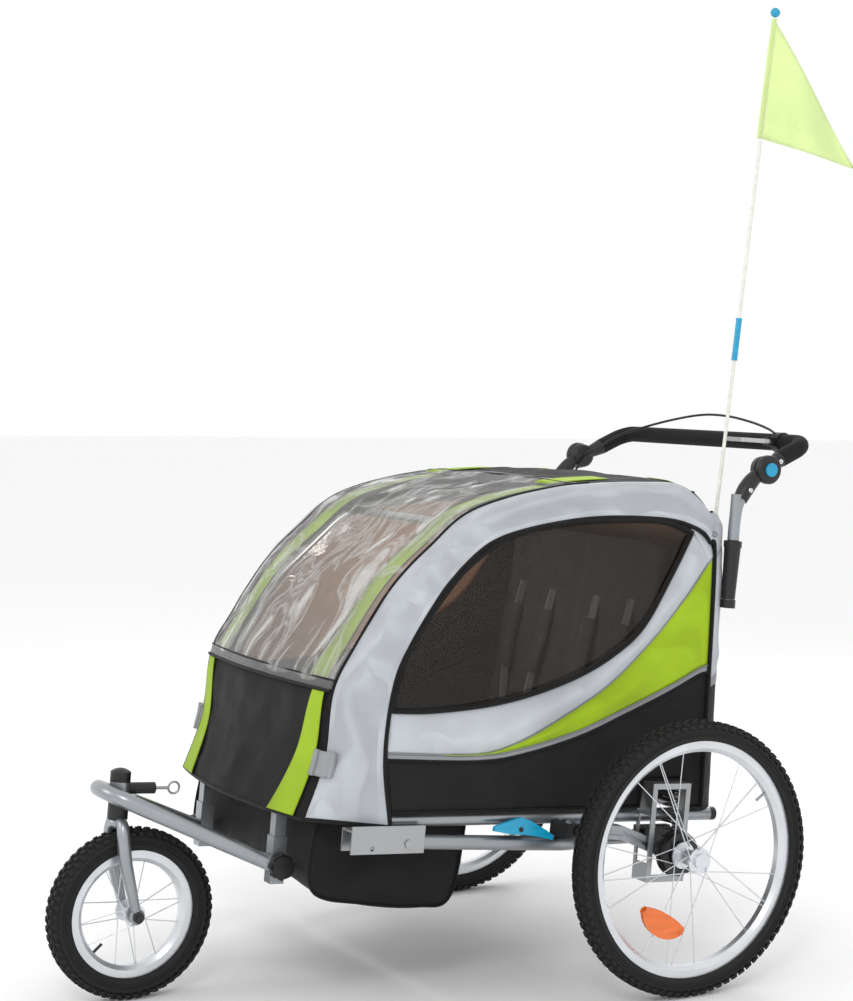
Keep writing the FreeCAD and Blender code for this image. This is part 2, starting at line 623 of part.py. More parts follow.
def brake_clamp():
    ring = ring_y(GRIP_X, GRIP_Z, LEVER_Y - 10, LEVER_Y + 10, GRIP_R + 3, GRIP_R + 0.05)
    ears = box(GRIP_X + GRIP_R, LEVER_X + 7, LEVER_Y - 8, LEVER_Y + 8, GRIP_Z - 8, GRIP_Z + 8)
    slot = box(GRIP_X + GRIP_R + 4, LEVER_X + 9, LEVER_Y - 9, LEVER_Y + 9, GRIP_Z - 4.2, GRIP_Z + 4.2)
    inside = rod_y(GRIP_X, GRIP_Z, 100, 300, GRIP_R + 0.05)
    pin = rod((LEVER_X, LEVER_Y, GRIP_Z - 8), (LEVER_X, LEVER_Y, GRIP_Z + 8), LEVER_PIN_R)
    return ring.fuse(ears.cut(inside)).cut(slot).fuse(pin)


def brake_lever():
    low, high = GRIP_Z - 4, GRIP_Z + 4
    eye = rod((LEVER_X, LEVER_Y, low), (LEVER_X, LEVER_Y, high), 6.0)
    blade = slab([(LEVER_X - 4, LEVER_Y), (LEVER_X + 5, LEVER_Y), (LEVER_X + 26, LEVER_Y - 50),
                  (LEVER_X + 30, LEVER_Y - 88), (LEVER_X + 22, LEVER_Y - 88),
                  (LEVER_X + 18, LEVER_Y - 50)], low, high)
    return eye.fuse(blade).cut(rod((LEVER_X, LEVER_Y, low - 9), (LEVER_X, LEVER_Y, high + 9),
                                   LEVER_PIN_R + RUN))


# The cable leaves the clamp, loops along the grip, and goes down the right-hand post.
CABLE_R = 2.5
CABLE_UPPER = [(-252, 226, 762), (-256, 212, 782), (-262, 150, 796), (-266, 60, 798),
               (-268, -40, 790), (-264, -140, 776), (-250, -220, 760), (-222, -258, 738),
               (HANDLE_PIVOT_X, -276, HANDLE_PIVOT_Z)]
CABLE_LOWER = [(HANDLE_PIVOT_X, -281, HANDLE_PIVOT_Z), (-150, -284, 655), (-134, -288, 600),
               (-131, -290, 480), (-131, -291, 340), (-131, -293, 220), (-120, -322, 110),
               (-70, -334, 60), (-28, -340, 40)]


def make_brake():
    keep("brake_clamp", brake_clamp())
    keep("brake_lever", brake_lever())
    keep("brake_cable_upper", sweep(CABLE_UPPER, CABLE_R, 400))
    keep("brake_cable_lower", sweep(CABLE_LOWER, CABLE_R, 400))


# ---- tow arm ----------------------------------------------------------------------------------
TOW_ROUTE = [(TOW_HINGE_X - 14, TOW_Y, 22.4), (205, TOW_Y, 12), (110, 266, 9), (-20, 250, 8)]


def tow_bracket():
    """Channel under the left rail, open downward and forward, with a bore for the lock pin."""
    x0, x1 = BRACKET_REAR_X, BRACKET_FRONT_X
    inner, outer, t = TOW_Y - 18, TOW_Y + 18, SHEET_METAL
    body = box(x0, x1, outer - t, outer, 7, 53)
    body = body.fuse(box(x0, x1, inner, inner + t, 7, 45.5))
    body = body.fuse(box(x0, x1, inner, outer, 42.5, 45.5))
    body = body.fuse(box(x0 + 8, x0 + 62, RAIL_Y + RAIL_R - 2, outer, 45.4, 49.2))
    body = body.cut(rod((0, RAIL_Y, RAIL_Z), (570, RAIL_Y, RAIL_Z), RAIL_R + 0.05))
    body = body.cut(rod_y(LOCK_BORE_X, LOCK_BORE_Z, 200, 400, LOCK_BORE_R))
    return body.cut(rod_y(TOW_HINGE_X, TOW_HINGE_Z, 200, 400, TOW_PIN_R))


def tow_hinge_pin():
    y0, y1 = TOW_Y - 18, TOW_Y + 18
    pin = rod_y(TOW_HINGE_X, TOW_HINGE_Z, y0 - 3, y1 + 3, TOW_PIN_R)
    for low in (y0 - 3, y1 + 0.1):
        pin = pin.fuse(rod_y(TOW_HINGE_X, TOW_HINGE_Z, low, low + 2.9, 7.0))
    return pin


def tow_arm():
    arm = sweep(TOW_ROUTE, TOW_R, 90)
    eye = rod_y(TOW_HINGE_X, TOW_HINGE_Z, TOW_Y - 14, TOW_Y + 14, 11.0)
    neck = rod((TOW_HINGE_X, TOW_Y, TOW_HINGE_Z), (TOW_HINGE_X - 30, TOW_Y, 21.9), TOW_R - 4)
    return arm.fuse(eye).fuse(neck).cut(rod_y(TOW_HINGE_X, TOW_HINGE_Z, 200, 400, TOW_PIN_R + RUN))


def hitch_coupler():
    end = TOW_ROUTE[-1]
    body = box(end[0] - 52, end[0] + 22, end[1] - 19, end[1] + 17, end[2] - 17, end[2] + 17)
    body = body.cut(box(end[0] - 60, end[0] - 14, end[1] - 7, end[1] + 7, -99, 99))
    body = body.fuse(rod_y(end[0] - 40, end[2], end[1] - 25, end[1] + 23, 5.0))
    return body.cut(sweep(TOW_ROUTE, TOW_R + 0.02, 90))


LATCH_X, LATCH_Z = 314.0, 43.0


def latch_base():
    base = box(296, 332, RAIL_Y + RAIL_R - 3, RAIL_Y + 24, 34, 49)
    base = base.fuse(rod_y(LATCH_X, LATCH_Z, RAIL_Y + 20, RAIL_Y + 33, 4.0))
    return base.cut(rod((0, RAIL_Y, RAIL_Z), (400, RAIL_Y, RAIL_Z), RAIL_R + SLIDE))


def latch_lever():
    outline = [(368, 41), (366, 49), (330, 60), (314, 64), (296, 58), (262, 41), (246, 31),
               (247, 23), (268, 28), (298, 33), (330, 35)]
    blade = plate(outline, RAIL_Y + 24.5, RAIL_Y + 31)
    return blade.cut(rod_y(LATCH_X, LATCH_Z, 300, 400, 4.0 + RUN))


def make_tow_arm():
    keep("tow_bracket", tow_bracket(), tow_hinge_pin())
    keep("tow_arm", tow_arm())
    keep("hitch_coupler", hitch_coupler())
    keep("latch_lever", latch_lever())


# ---- cabin cover ------------------------------------------------------------------------------
# The cover's outline is given twice, point by point: along the arch, 250 mm out from the middle,
# and along the side wall, where each point is a little lower and further in.
ARCH = [(687, 50), (657, 150), (650, 265), (615, 340), (555, 440), (490, 510), (405, 580),
        (235, 630), (50, 650), (-30, 646), (-89, 605), (-112, 544), (-136, 50)]
SIDE = [(563, 50), (580, 154), (581, 243), (565, 320), (511, 405), (455, 480), (375, 543),
        (215, 585), (50, 596), (-25, 590), (-62, 560), (-75, 500), (-75, 50)]
WINDOW = [(570, 243), (562, 299), (538, 352), (501, 410), (445, 474), (372, 526), (299, 550),
          (205, 569), (60, 577), (-20, 561), (23, 484), (76, 396), (133, 347), (204, 308),
          (296, 275), (387, 254), (497, 242)]


def side_y(z):
    """Half width of the side wall's outer face, which leans inward as it rises."""
    return SIDE_BOTTOM_Y - SIDE_LEAN * (z - COVER_BOTTOM_Z)


def inset(outline, depth):
    """The outline moved inward, every corner on its own bisector. It runs anticlockwise in X-Z."""
    moved = []
    last = len(outline) - 1
    for i, (x, z) in enumerate(outline):
        before = outline[max(i - 1, 0)]
        after = outline[min(i + 1, last)]
        dx, dz = after[0] - before[0], after[1] - before[1]
        length = math.hypot(dx, dz)
        moved.append((x - dz / length * depth, z + dx / length * depth))
    moved[0] = (moved[0][0], outline[0][1])
    moved[-1] = (moved[-1][0], outline[-1][1])
    return moved


def bulge(index, y):
    """How far the front stands out in the middle, most at the hem and nothing at the arch's top."""
    share = (1.0, 0.85, 0.65, 0.45, 0.2)
    depth = FRONT_BULGE * share[index] if index < len(share) else 0.0
    return depth * (1 - (y / ARCH_Y) ** 2)


def strip(first, last, thickness, sections):
    """A skin over the arch outline's points first to last, lofted through sections across Y."""
    inner = inset(ARCH, thickness)
    wires = []
    for y in sections:
        ring = [V(ARCH[i][0] + bulge(i, y), y, ARCH[i][1]) for i in range(first, last + 1)]
        ring += [V(inner[i][0] + bulge(i, y), y, inner[i][1]) for i in range(last, first - 1, -1)]
        wires.append(Part.makePolygon(ring + ring[:1]))
    return Part.makeLoft(wires, True, True)


def shoulder(first, last, thickness):
    """The left-hand skin between the arch outline and the side wall's outline."""
    arch_in, side_in = inset(ARCH, thickness), inset(SIDE, thickness)
    order = list(range(first, last + 1))
    arch = [V(ARCH[i][0], ARCH_Y + 0.2, ARCH[i][1]) for i in order]
    arch += [V(arch_in[i][0], ARCH_Y + 0.2, arch_in[i][1]) for i in reversed(order)]
    side = [V(SIDE[i][0], side_y(SIDE[i][1]), SIDE[i][1]) for i in order]
    side += [V(side_in[i][0], side_y(side_in[i][1]), side_in[i][1]) for i in reversed(order)]
    wires = [Part.makePolygon(arch + arch[:1]), Part.makePolygon(side + side[:1])]
    return Part.makeLoft(wires, True, True)


def side_slab(outline, thickness, depth):
    """A flat leaning panel whose outer face lies on the side wall, sunk by depth."""
    outer = [V(x, side_y(z) - depth, z) for x, z in outline]
    face = Part.Face(Part.makePolygon(outer + outer[:1]))
    return face.extrude(V(0, -thickness, 0))


def scaled_outline(outline, grow):
    """The outline grown or shrunk about its middle by a distance, along each corner's ray."""
    cx = sum(p[0] for p in outline) / len(outline)
    cz = sum(p[1] for p in outline) / len(outline)
    made = []
    for x, z in outline:
        reach = math.hypot(x - cx, z - cz)
        made.append((cx + (x - cx) * (reach + grow) / reach, cz + (z - cz) * (reach + grow) / reach))
    return made


def suspension_way():
    """Room in the side wall's lower edge for the spring box, the trailing arm and its pivot."""
    rear_x = BOX_FRONT_X - BOX_WIDTH
    over_box = box(rear_x - 2, BOX_FRONT_X + 2, 250, 400, 0, BOX_TOP_Z + 2)
    over_arm = box(rear_x - 2, ARM_PIVOT_X + 38, 250, 400, 0, RAIL_TOP_Z)
    return over_box.fuse(over_arm)


def rail_way():
    """Room in the rear corner for the rail's end, the rear cross tube and the handle's stay."""
    x = HANDLE_POST_X
    ends = box(x - 20, x + 60, 250, 400, 0, RAIL_TOP_Z + 1)
    return ends.fuse(rod(*stay_line(), STAY_R + 1))


def make_cover():
    middle = [-ARCH_Y, -170, -85, 0, 85, 170, ARCH_Y]
    flat = [-ARCH_Y, ARCH_Y]
    side_inner = inset(SIDE, COVER + 0.3)
    panel = side_slab(side_inner, COVER, 0)
    hole = side_slab(WINDOW, 60, -30)
    panel = panel.cut(hole).cut(suspension_way())
    glass = side_slab(scaled_outline(WINDOW, -0.4), WINDOW_FILM, 1)
    pole_way = rod(flag_line(SEAT_TUBE_Z + 20), flag_line(1000), FLAG_R + 0.4)
    keep("side_panel_left", panel)
    keep("side_panel_right", mirrored(panel))
    keep("side_windows", *pair(glass))
    keep("canopy_arches", *pair(shoulder(0, 6, COVER)))
    keep("front_panel", strip(0, 2, COVER, middle))
    keep("front_window", strip(2, 6, WINDOW_FILM, middle))
    roof = [strip(6, 9, COVER, flat)] + pair(shoulder(6, 9, COVER))
    keep("roof_panel", *roof)
    rear_side = shoulder(9, 12, COVER).cut(rail_way())
    keep("rear_cover", strip(9, 12, COVER, flat), rear_side.cut(pole_way), mirrored(rear_side))


# ---- floor bag and seat -----------------------------------------------------------------------
BAG_Y = 241.0
BAG = [(365, 70.4), (365, 46), (385, -93), (450, -108), (560, -99), (658, -72), (658, 34),
       (640, 45.5), (640, 70.4)]
SEAT_TOP_Z = 150.0


def floor_bag():
    """Fabric floor on the rails, with the footwell hanging through it."""
    outer = plate(BAG, -BAG_Y, BAG_Y)
    inner = [(x + (3 if x < 450 else -3), z + (3 if z < -50 else 0)) for x, z in BAG]
    inner[0], inner[-1] = (368, 99), (637, 99)
    bag = outer.cut(plate(inner, -BAG_Y + 3, BAG_Y - 3))
    low = RAIL_TOP_Z + 0.3
    sheet = slab([(-82, -286), (555, -286), (640, -232), (640, 232), (555, 286), (-82, 286)], low, low + 3)
    hoop_ways = [rod((610, s * 276, 0), (608, s * 275, 120), HOOP_R + 1) for s in (-1, 1)]
    for way in hoop_ways:
        sheet = sheet.cut(way)
    sheet = sheet.cut(box(368, 637, -BAG_Y + 3, BAG_Y - 3, 0, 99))
    top = box(300, 700, -300, 300, low, 200)
    return bag.cut(top).fuse(sheet)


def make_seat():
    floor_z = RAIL_TOP_Z + 3.6
    base = plate([(20, floor_z), (345, floor_z), (352, SEAT_TOP_Z - 12), (340, SEAT_TOP_Z),
                  (20, SEAT_TOP_Z)], -262, 262)
    keep("seat_base", base)
    lean = [(20, SEAT_TOP_Z + SEAT), (48, SEAT_TOP_Z + SEAT), (-18, 540), (-50, 536)]
    keep("seat_back", plate(lean, -250, 250))
    straps = []
    for y in (-185, -75, 75, 185):
        low, high = (47, 190), (-10, 508)
        outline = [(low[0] - 3, low[1]), (low[0] - 1, low[1]), (high[0] - 1, high[1]), (high[0] - 3, high[1])]
        straps.append(plate([(x + 0.9, z) for x, z in outline], y - 12, y + 12))
    for y in (-130, 130):
        straps.append(box(80, 96, y - 14, y + 14, SEAT_TOP_Z + 0.3, SEAT_TOP_Z + 46))
        straps.append(box(96, 190, y - 12, y + 12, SEAT_TOP_Z + 0.3, SEAT_TOP_Z + 2.3))
    keep("harness", *straps)


# ---- the whole trailer ------------------------------------------------------------------------
def nose_up_angle():
    """Tilt at which both tyres touch the floor, about the rear axle."""
    reach = math.hypot(FRONT_AXLE_X, FRONT_AXLE_Z)
    drop = math.atan2(FRONT_AXLE_X, FRONT_AXLE_Z)
    return math.degrees(drop - math.acos((FRONT_TYRE_R - REAR_TYRE_R) / reach))


def placed():
    """Tip every piece nose-up, then centre the footprint on the origin."""
    tilt = -nose_up_angle()
    low = V(1e9, 1e9, 1e9)
    high = V(-1e9, -1e9, -1e9)
    for shapes in NODES.values():
        for shape in shapes:
            shape.rotate(V(0, 0, 0), V(0, 1, 0), tilt)
            points, _ = shape.tessellate(0.3)
            for p in points:
                low = V(min(low.x, p.x), min(low.y, p.y), min(low.z, p.z))
                high = V(max(high.x, p.x), max(high.y, p.y), max(high.z, p.z))
    shift = V(-(low.x + high.x) / 2, -(low.y + high.y) / 2, REAR_TYRE_R)
    for shapes in NODES.values():
        for shape in shapes:
            shape.translate(shift)
    print("tilt %.4f shift %.3f %.3f %.3f" % (-tilt, shift.x, shift.y, shift.z))
    print("low", low, "high", high)


def main():
    make_rear_wheels()
    make_front_wheel()
    make_suspension()
    make_front_end()
    make_frame()
    make_flag()
    make_handle()
    make_brake()
    make_tow_arm()
    make_cover()
    keep("floor_bag", floor_bag())
    make_seat()
    placed()
    os.makedirs("parts", exist_ok=True)
    for name, shapes in NODES.items():
        solids = [solid for shape in shapes for solid in shape.Solids]
        bad = [solid for solid in solids if not solid.isValid()]
        if bad or not solids:
            print("check", name, len(solids), "solids,", len(bad), "not valid")
        whole = solids[0] if len(solids) == 1 else Part.makeCompound(solids)
        whole.exportStep("parts/" + name + ".step")
    print(len(NODES), "nodes")


main()
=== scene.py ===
import math

import bpy
import numpy as np
from mathutils import Matrix, Vector, noise


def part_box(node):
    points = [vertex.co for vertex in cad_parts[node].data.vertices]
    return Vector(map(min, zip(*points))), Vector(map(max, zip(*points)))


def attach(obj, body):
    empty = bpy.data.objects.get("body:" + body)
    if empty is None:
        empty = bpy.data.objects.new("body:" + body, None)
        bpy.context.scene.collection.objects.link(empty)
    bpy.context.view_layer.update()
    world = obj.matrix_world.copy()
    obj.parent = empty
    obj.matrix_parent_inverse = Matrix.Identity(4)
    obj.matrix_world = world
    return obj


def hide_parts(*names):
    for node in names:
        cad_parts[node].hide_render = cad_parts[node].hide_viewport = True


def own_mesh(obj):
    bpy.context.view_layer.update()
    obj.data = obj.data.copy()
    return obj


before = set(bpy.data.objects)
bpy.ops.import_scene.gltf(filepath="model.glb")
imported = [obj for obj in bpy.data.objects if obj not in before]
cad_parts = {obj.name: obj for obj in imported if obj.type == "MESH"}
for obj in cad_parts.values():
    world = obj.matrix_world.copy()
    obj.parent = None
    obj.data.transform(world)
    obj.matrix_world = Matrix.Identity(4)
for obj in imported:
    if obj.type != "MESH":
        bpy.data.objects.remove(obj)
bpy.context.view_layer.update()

# Everything is laid out in the level frame of the trailer: millimetres from the rear axle's middle,
# X forward along the rails, Y left and Z up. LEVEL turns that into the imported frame, in metres.
FRONT_AXLE = (876.0, -157.0)


def middle(node):
    """The centre of a CAD node's box."""
    low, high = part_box(node)
    return (low + high) / 2


REAR = (middle("rear_tyre_left") + middle("rear_tyre_right")) / 2
NOSE = middle("front_tyre") - REAR
TILT = math.atan2(NOSE.z, NOSE.x) - math.atan2(FRONT_AXLE[1], FRONT_AXLE[0])
LEVEL = Matrix.Translation(REAR) @ Matrix.Rotation(-TILT, 4, "Y") @ Matrix.Scale(0.001, 4)
SIDES = ((1, "left"), (-1, "right"))


def at(x, y, z):
    """A point of the level frame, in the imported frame."""
    return LEVEL @ Vector((x, y, z))


# ---- camera, light and floor ----
CAMERA_FROM_AXLE = (2.1495, 3.2197, 1.0678)
CAMERA_YAW, CAMERA_PITCH, CAMERA_ROLL = 29.623, -3.365, 1.2605
LENS_MM, SENSOR_MM = 72.9, 36.0
FLOOR_SIZE = 60.0
FLOOR_GREY = (0.93, 0.93, 0.93, 1)
CABIN_GLOW = (1.0, 0.93, 0.85)


def look(yaw, pitch, roll):
    """Camera rotation from compass turn, tip and roll, in degrees."""
    a, p, r = (math.radians(v) for v in (yaw, pitch, roll))
    ahead = Vector((-math.sin(a) * math.cos(p), -math.cos(a) * math.cos(p), math.sin(p)))
    right = ahead.cross(Vector((0, 0, 1))).normalized()
    up = right.cross(ahead)
    turned_right = right * math.cos(r) + up * math.sin(r)
    turned_up = up * math.cos(r) - right * math.sin(r)
    return Matrix((turned_right, turned_up, -ahead)).transposed()


def make_camera():
    data = bpy.data.cameras.new("camera")
    data.sensor_fit = "VERTICAL"
    data.sensor_height = SENSOR_MM
    data.lens = LENS_MM
    camera = bpy.data.objects.new("camera", data)
    bpy.context.scene.collection.objects.link(camera)
    place = Vector((REAR.x, 0, 0)) + Vector(CAMERA_FROM_AXLE)
    camera.matrix_world = Matrix.Translation(place) @ look(
        CAMERA_YAW, CAMERA_PITCH, CAMERA_ROLL).to_4x4()
    bpy.context.scene.camera = camera


def area_light(name, place, aim, size, watts, colour=(1, 1, 1)):
    data = bpy.data.lights.new(name, "AREA")
    data.shape, data.size, data.energy, data.color = "DISK", size, watts, colour
    light = bpy.data.objects.new(name, data)
    bpy.context.scene.collection.objects.link(light)
    light.location = place
    light.rotation_euler = (Vector(aim) - Vector(place)).to_track_quat("-Z", "Y").to_euler()


def make_stage():
    bpy.ops.mesh.primitive_plane_add(size=FLOOR_SIZE, location=(0, 0, 0))
    floor = bpy.context.object
    floor.name = "floor"
    paint = bpy.data.materials.new("floor_paint")
    paint.use_nodes = True
    shader = paint.node_tree.nodes["Principled BSDF"]
    shader.inputs["Base Color"].default_value = FLOOR_GREY
    shader.inputs["Roughness"].default_value = 0.9
    floor.data.materials.append(paint)
    world = bpy.data.worlds.new("studio")
    world.use_nodes = True
    backdrop = world.node_tree.nodes["Background"]
    backdrop.inputs["Color"].default_value = (1, 1, 1, 1)
    backdrop.inputs["Strength"].default_value = 1.0
    bpy.context.scene.world = world
    # Three studio lamps, then two small ones that stand for the warm daylight inside the cabin.
    area_light("key", (2.6, 3.4, 3.6), (0, 0, 0.6), 1.2, 42)
    area_light("fill", (3.5, -0.5, 2.2), (0, 0, 0.5), 1.6, 16)
    area_light("rim", (-2.8, -1.8, 3.0), (0, 0, 0.7), 1.2, 24)
    area_light("cabin", at(300, 60, 470), at(200, -300, 330), 0.12, 0.9, CABIN_GLOW)
    area_light("cabin_back", at(330, 60, 480), at(-80, 60, 380), 0.12, 1.3, CABIN_GLOW)
    bpy.context.scene.view_settings.view_transform = "Standard"


# ---- materials ----
MATERIALS = {}


class Nodes:
    """A material's node tree with short calls for what every finish here uses."""

    def __init__(self, name):
        self.material = bpy.data.materials.new(name)
        self.material.use_nodes = True
        self.tree = self.material.node_tree
        self.shader = self.tree.nodes["Principled BSDF"]
        self.place = self.add("ShaderNodeTexCoord").outputs["Object"]
        MATERIALS[name] = self.material

    def add(self, kind, **values):
        node = self.tree.nodes.new(kind)
        for key, value in values.items():
            setattr(node, key, value)
        return node

    def link(self, a, b):
        self.tree.links.new(a, b)

    def set(self, **values):
        for key, value in values.items():
            self.shader.inputs[key.replace("_", " ")].default_value = value

    def noise(self, scale, detail=3.0, stretch=(1, 1, 1), twist=0.0):
        node = self.add("ShaderNodeTexNoise")
        node.inputs["Distortion"].default_value = twist
        node.inputs["Scale"].default_value = scale
        node.inputs["Detail"].default_value = detail
        mapping = self.add("ShaderNodeMapping")
        mapping.inputs["Scale"].default_value = stretch
        self.link(self.place, mapping.inputs["Vector"])
        self.link(mapping.outputs[0], node.inputs["Vector"])
        return node.outputs["Fac"]

    def wave(self, axis, scale, distortion=0.4):
        node = self.add("ShaderNodeTexWave", bands_direction=axis)
        node.inputs["Scale"].default_value = scale
        node.inputs["Distortion"].default_value = distortion
        self.link(self.place, node.inputs["Vector"])
        return node.outputs["Fac"]

    def math(self, kind, a, b):
        node = self.add("ShaderNodeMath", operation=kind)
        for socket, value in zip(node.inputs, (a, b)):
            if isinstance(value, (int, float)):
                socket.default_value = value
            else:
                self.link(value, socket)
        return node.outputs[0]

    def ramp(self, factor, *stops):
        node = self.add("ShaderNodeValToRGB")
        while len(node.color_ramp.elements) < len(stops):
            node.color_ramp.elements.new(0.5)
        for element, (place, colour) in zip(node.color_ramp.elements, stops):
            element.position = place
            element.color = tuple(colour) + (1,)
        self.link(factor, node.inputs["Fac"])
        return node.outputs["Color"]

    def colour(self, socket):
        self.link(socket, self.shader.inputs["Base Color"])

    def roughness(self, factor, low, high):
        node = self.add("ShaderNodeMapRange")
        node.inputs["To Min"].default_value = low
        node.inputs["To Max"].default_value = high
        self.link(factor, node.inputs["Value"])
        self.link(node.outputs[0], self.shader.inputs["Roughness"])

    def bump(self, height, strength, distance):
        node = self.add("ShaderNodeBump")
        node.inputs["Strength"].default_value = strength
        node.inputs["Distance"].default_value = distance
        self.link(height, node.inputs["Height"])
        self.link(node.outputs[0], self.shader.inputs["Normal"])


def shade(colour, factor):
    return tuple(min(1.0, c * factor) for c in colour)


def fabric(name, colour, rough=0.62, sheen=0.15, thread=2600.0):
    """Coated woven cloth: crossed threads, soft crinkles and a slight change of tone."""
    n = Nodes(name)
    weave = n.math("MULTIPLY", n.math("ADD", n.wave("X", thread), n.wave("Z", thread)),
                   n.math("ADD", n.wave("Y", thread), 0.4))
    crinkles = n.noise(24, 2)
    tone = n.noise(9, 4)
    n.colour(n.ramp(tone, (0.3, shade(colour, 0.9)), (0.55, colour), (0.75, shade(colour, 1.07))))
    height = n.math("ADD", n.math("MULTIPLY", weave, 0.03), n.math("MULTIPLY", crinkles, 0.6))
    n.bump(height, 0.8, 0.008)
    n.roughness(crinkles, rough - 0.08, rough + 0.1)
    n.set(Sheen_Weight=sheen, Sheen_Roughness=0.5, Specular_IOR_Level=0.25)


def plastic(name, colour, rough=0.42, grain=900.0, coat=0.0):
    n = Nodes(name)
    speckle, scuffs = n.noise(grain, 2), n.noise(26, 6, (1, 1, 4))
    n.colour(n.ramp(scuffs, (0.35, shade(colour, 0.88)), (0.6, colour), (0.85, shade(colour, 1.18))))
    n.bump(speckle, 0.18, 0.0006)
    n.roughness(scuffs, rough - 0.1, rough + 0.12)
    n.set(Specular_IOR_Level=0.5, Coat_Weight=coat, Coat_Roughness=0.15)


def metal(name, colour, rough=0.32, metallic=1.0, brushed=(1, 1, 1), coat=0.0):
    n = Nodes(name)
    streaks, blotches = n.noise(420, 3, brushed), n.noise(14, 5)
    n.colour(n.ramp(blotches, (0.3, shade(colour, 0.9)), (0.6, colour), (0.9, shade(colour, 1.05))))
    n.bump(streaks, 0.08, 0.0005)
    n.roughness(blotches, rough - 0.08, rough + 0.1)
    n.set(Metallic=metallic, Coat_Weight=coat, Coat_Roughness=0.2)


def rubber(name, colour, rough=0.72, pits=700.0):
    n = Nodes(name)
    dust, pores = n.noise(30, 6), n.noise(pits, 2)
    n.colour(n.ramp(dust, (0.35, shade(colour, 0.8)), (0.6, colour), (0.85, shade(colour, 1.5))))
    n.bump(pores, 0.4, 0.0008)
    n.roughness(dust, rough - 0.08, rough + 0.12)
    n.set(Specular_IOR_Level=0.4)


def film(name, colour, alpha, rough, waves=0.6, scale=7.0, painted_glare=0.0, gloss=0.25):
    """Clear or smoked sheet that lets what is behind it show, with soft ripples in its gloss. Its streak
    option paints reflections: noise bands where the sheet turns less see-through and shows its pale colour
    stand for glare.
    """
    n = Nodes(name)
    folds, fine = n.noise(scale, 4, (1, 1, 2.2)), n.noise(60, 3)
    n.colour(n.ramp(fine, (0.3, shade(colour, 0.92)), (0.7, shade(colour, 1.05))))
    n.bump(folds, waves, 0.02)
    n.set(Alpha=alpha, Roughness=rough, Specular_IOR_Level=0.5, Coat_Weight=gloss, Coat_Roughness=0.03)
    # Painted reflection: bands of higher alpha show the film's pale colour where glare would be.
    if painted_glare:
        stops = ((0.47, alpha), (0.52, alpha + painted_glare * 0.4), (0.57, alpha), (0.66, alpha + painted_glare))
        streaks = n.ramp(n.noise(scale, 5, (0.55, 1.7, 0.55), 1.6),
                         *((place, (value,) * 3) for place, value in stops))
        n.link(streaks, n.shader.inputs["Alpha"])
    n.material.surface_render_method = "BLENDED"


def webbing(name, colour, pitch=420.0):
    n = Nodes(name)
    ribs = n.math("MAXIMUM", n.wave("DIAGONAL", pitch, 0.0), n.wave("Z", pitch, 0.0))
    tone = n.noise(20, 4)
    n.colour(n.ramp(tone, (0.3, shade(colour, 0.85)), (0.7, shade(colour, 1.1))))
    n.bump(ribs, 0.4, 0.0008)
    n.roughness(tone, 0.6, 0.8)
    n.set(Sheen_Weight=0.2, Sheen_Roughness=0.4)


def make_materials():
    fabric("silver_cloth", (0.55, 0.58, 0.62), 0.5, 0.05)
    fabric("lime_cloth", (0.36, 0.55, 0.010), 0.5, 0.05)
    fabric("black_cloth", (0.0075, 0.006, 0.0075), 0.6, 0.02)
    fabric("lining_cloth", (0.011, 0.008, 0.007), 0.8, 0.02)
    fabric("grey_trim", (0.30, 0.31, 0.33), 0.4, 0.05)
    fabric("black_trim", (0.006, 0.0055, 0.006), 0.5, 0.02, 3200)
    fabric("seat_cloth", (0.010, 0.008, 0.009), 0.75, 0.05)
    fabric("tan_lining", (0.16, 0.085, 0.045), 0.8, 0.1)
    fabric("pennant_cloth", (0.76, 0.94, 0.40), 0.45, 0.05)
    webbing("harness_web", (0.03, 0.028, 0.03))
    webbing("grey_web", (0.30, 0.31, 0.33))
    film("smoked_film", (0.016, 0.009, 0.005), 0.30, 0.04, 0.2)
    # Painted backlight: this brown stands for daylight shining through the right window's tinted film from
    # behind, and the cabin lamps light it from inside.
    film("painted_backlight_film", (0.24, 0.125, 0.06), 0.86, 0.10, 0.35)
    # Painted reflection streaks on the clear front film: pale, less see-through bands.
    film("clear_film", (0.55, 0.54, 0.52), 0.15, 0.06, 1.0, 8.0, 0.6, 1.0)
    film("grey_film", (0.10, 0.10, 0.105), 0.72, 0.12, 0.6)
    plastic("black_plastic", (0.009, 0.009, 0.0095), 0.42)
    plastic("blue_plastic", (0.002, 0.33, 0.56), 0.3, 600, 0.3)
    plastic("orange_lens", (0.85, 0.16, 0.01), 0.2, 500, 0.6)
    plastic("pole_gel", (0.78, 0.78, 0.70), 0.3, 800, 0.4)
    metal("tube_grey", (0.34, 0.36, 0.38), 0.32, 0.85, (1, 1, 1), 0.3)
    metal("rim_silver", (0.72, 0.74, 0.77), 0.28, 0.85)
    metal("zinc", (0.40, 0.41, 0.42), 0.34, 0.9, (1, 1, 8))
    metal("chrome", (0.75, 0.76, 0.78), 0.12)
    metal("black_coat", (0.012, 0.012, 0.013), 0.35, 0.3, (1, 1, 1), 0.4)
    rubber("tyre_rubber", (0.009, 0.009, 0.0095))
    rubber("foam_rubber", (0.007, 0.007, 0.0075), 0.85, 420)
    rubber("cable_skin", (0.007, 0.007, 0.008), 0.45, 900)


# ---- mesh helpers ----
def show(obj, body, paint, slot, *replaced):
    """Paint a piece, let it ride on its body, and hide the plain nodes that it stands for."""
    obj.data.materials.clear()
    obj.data.materials.append(MATERIALS[paint])
    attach(obj, body)
    if replaced:
        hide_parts(*replaced)
    return obj


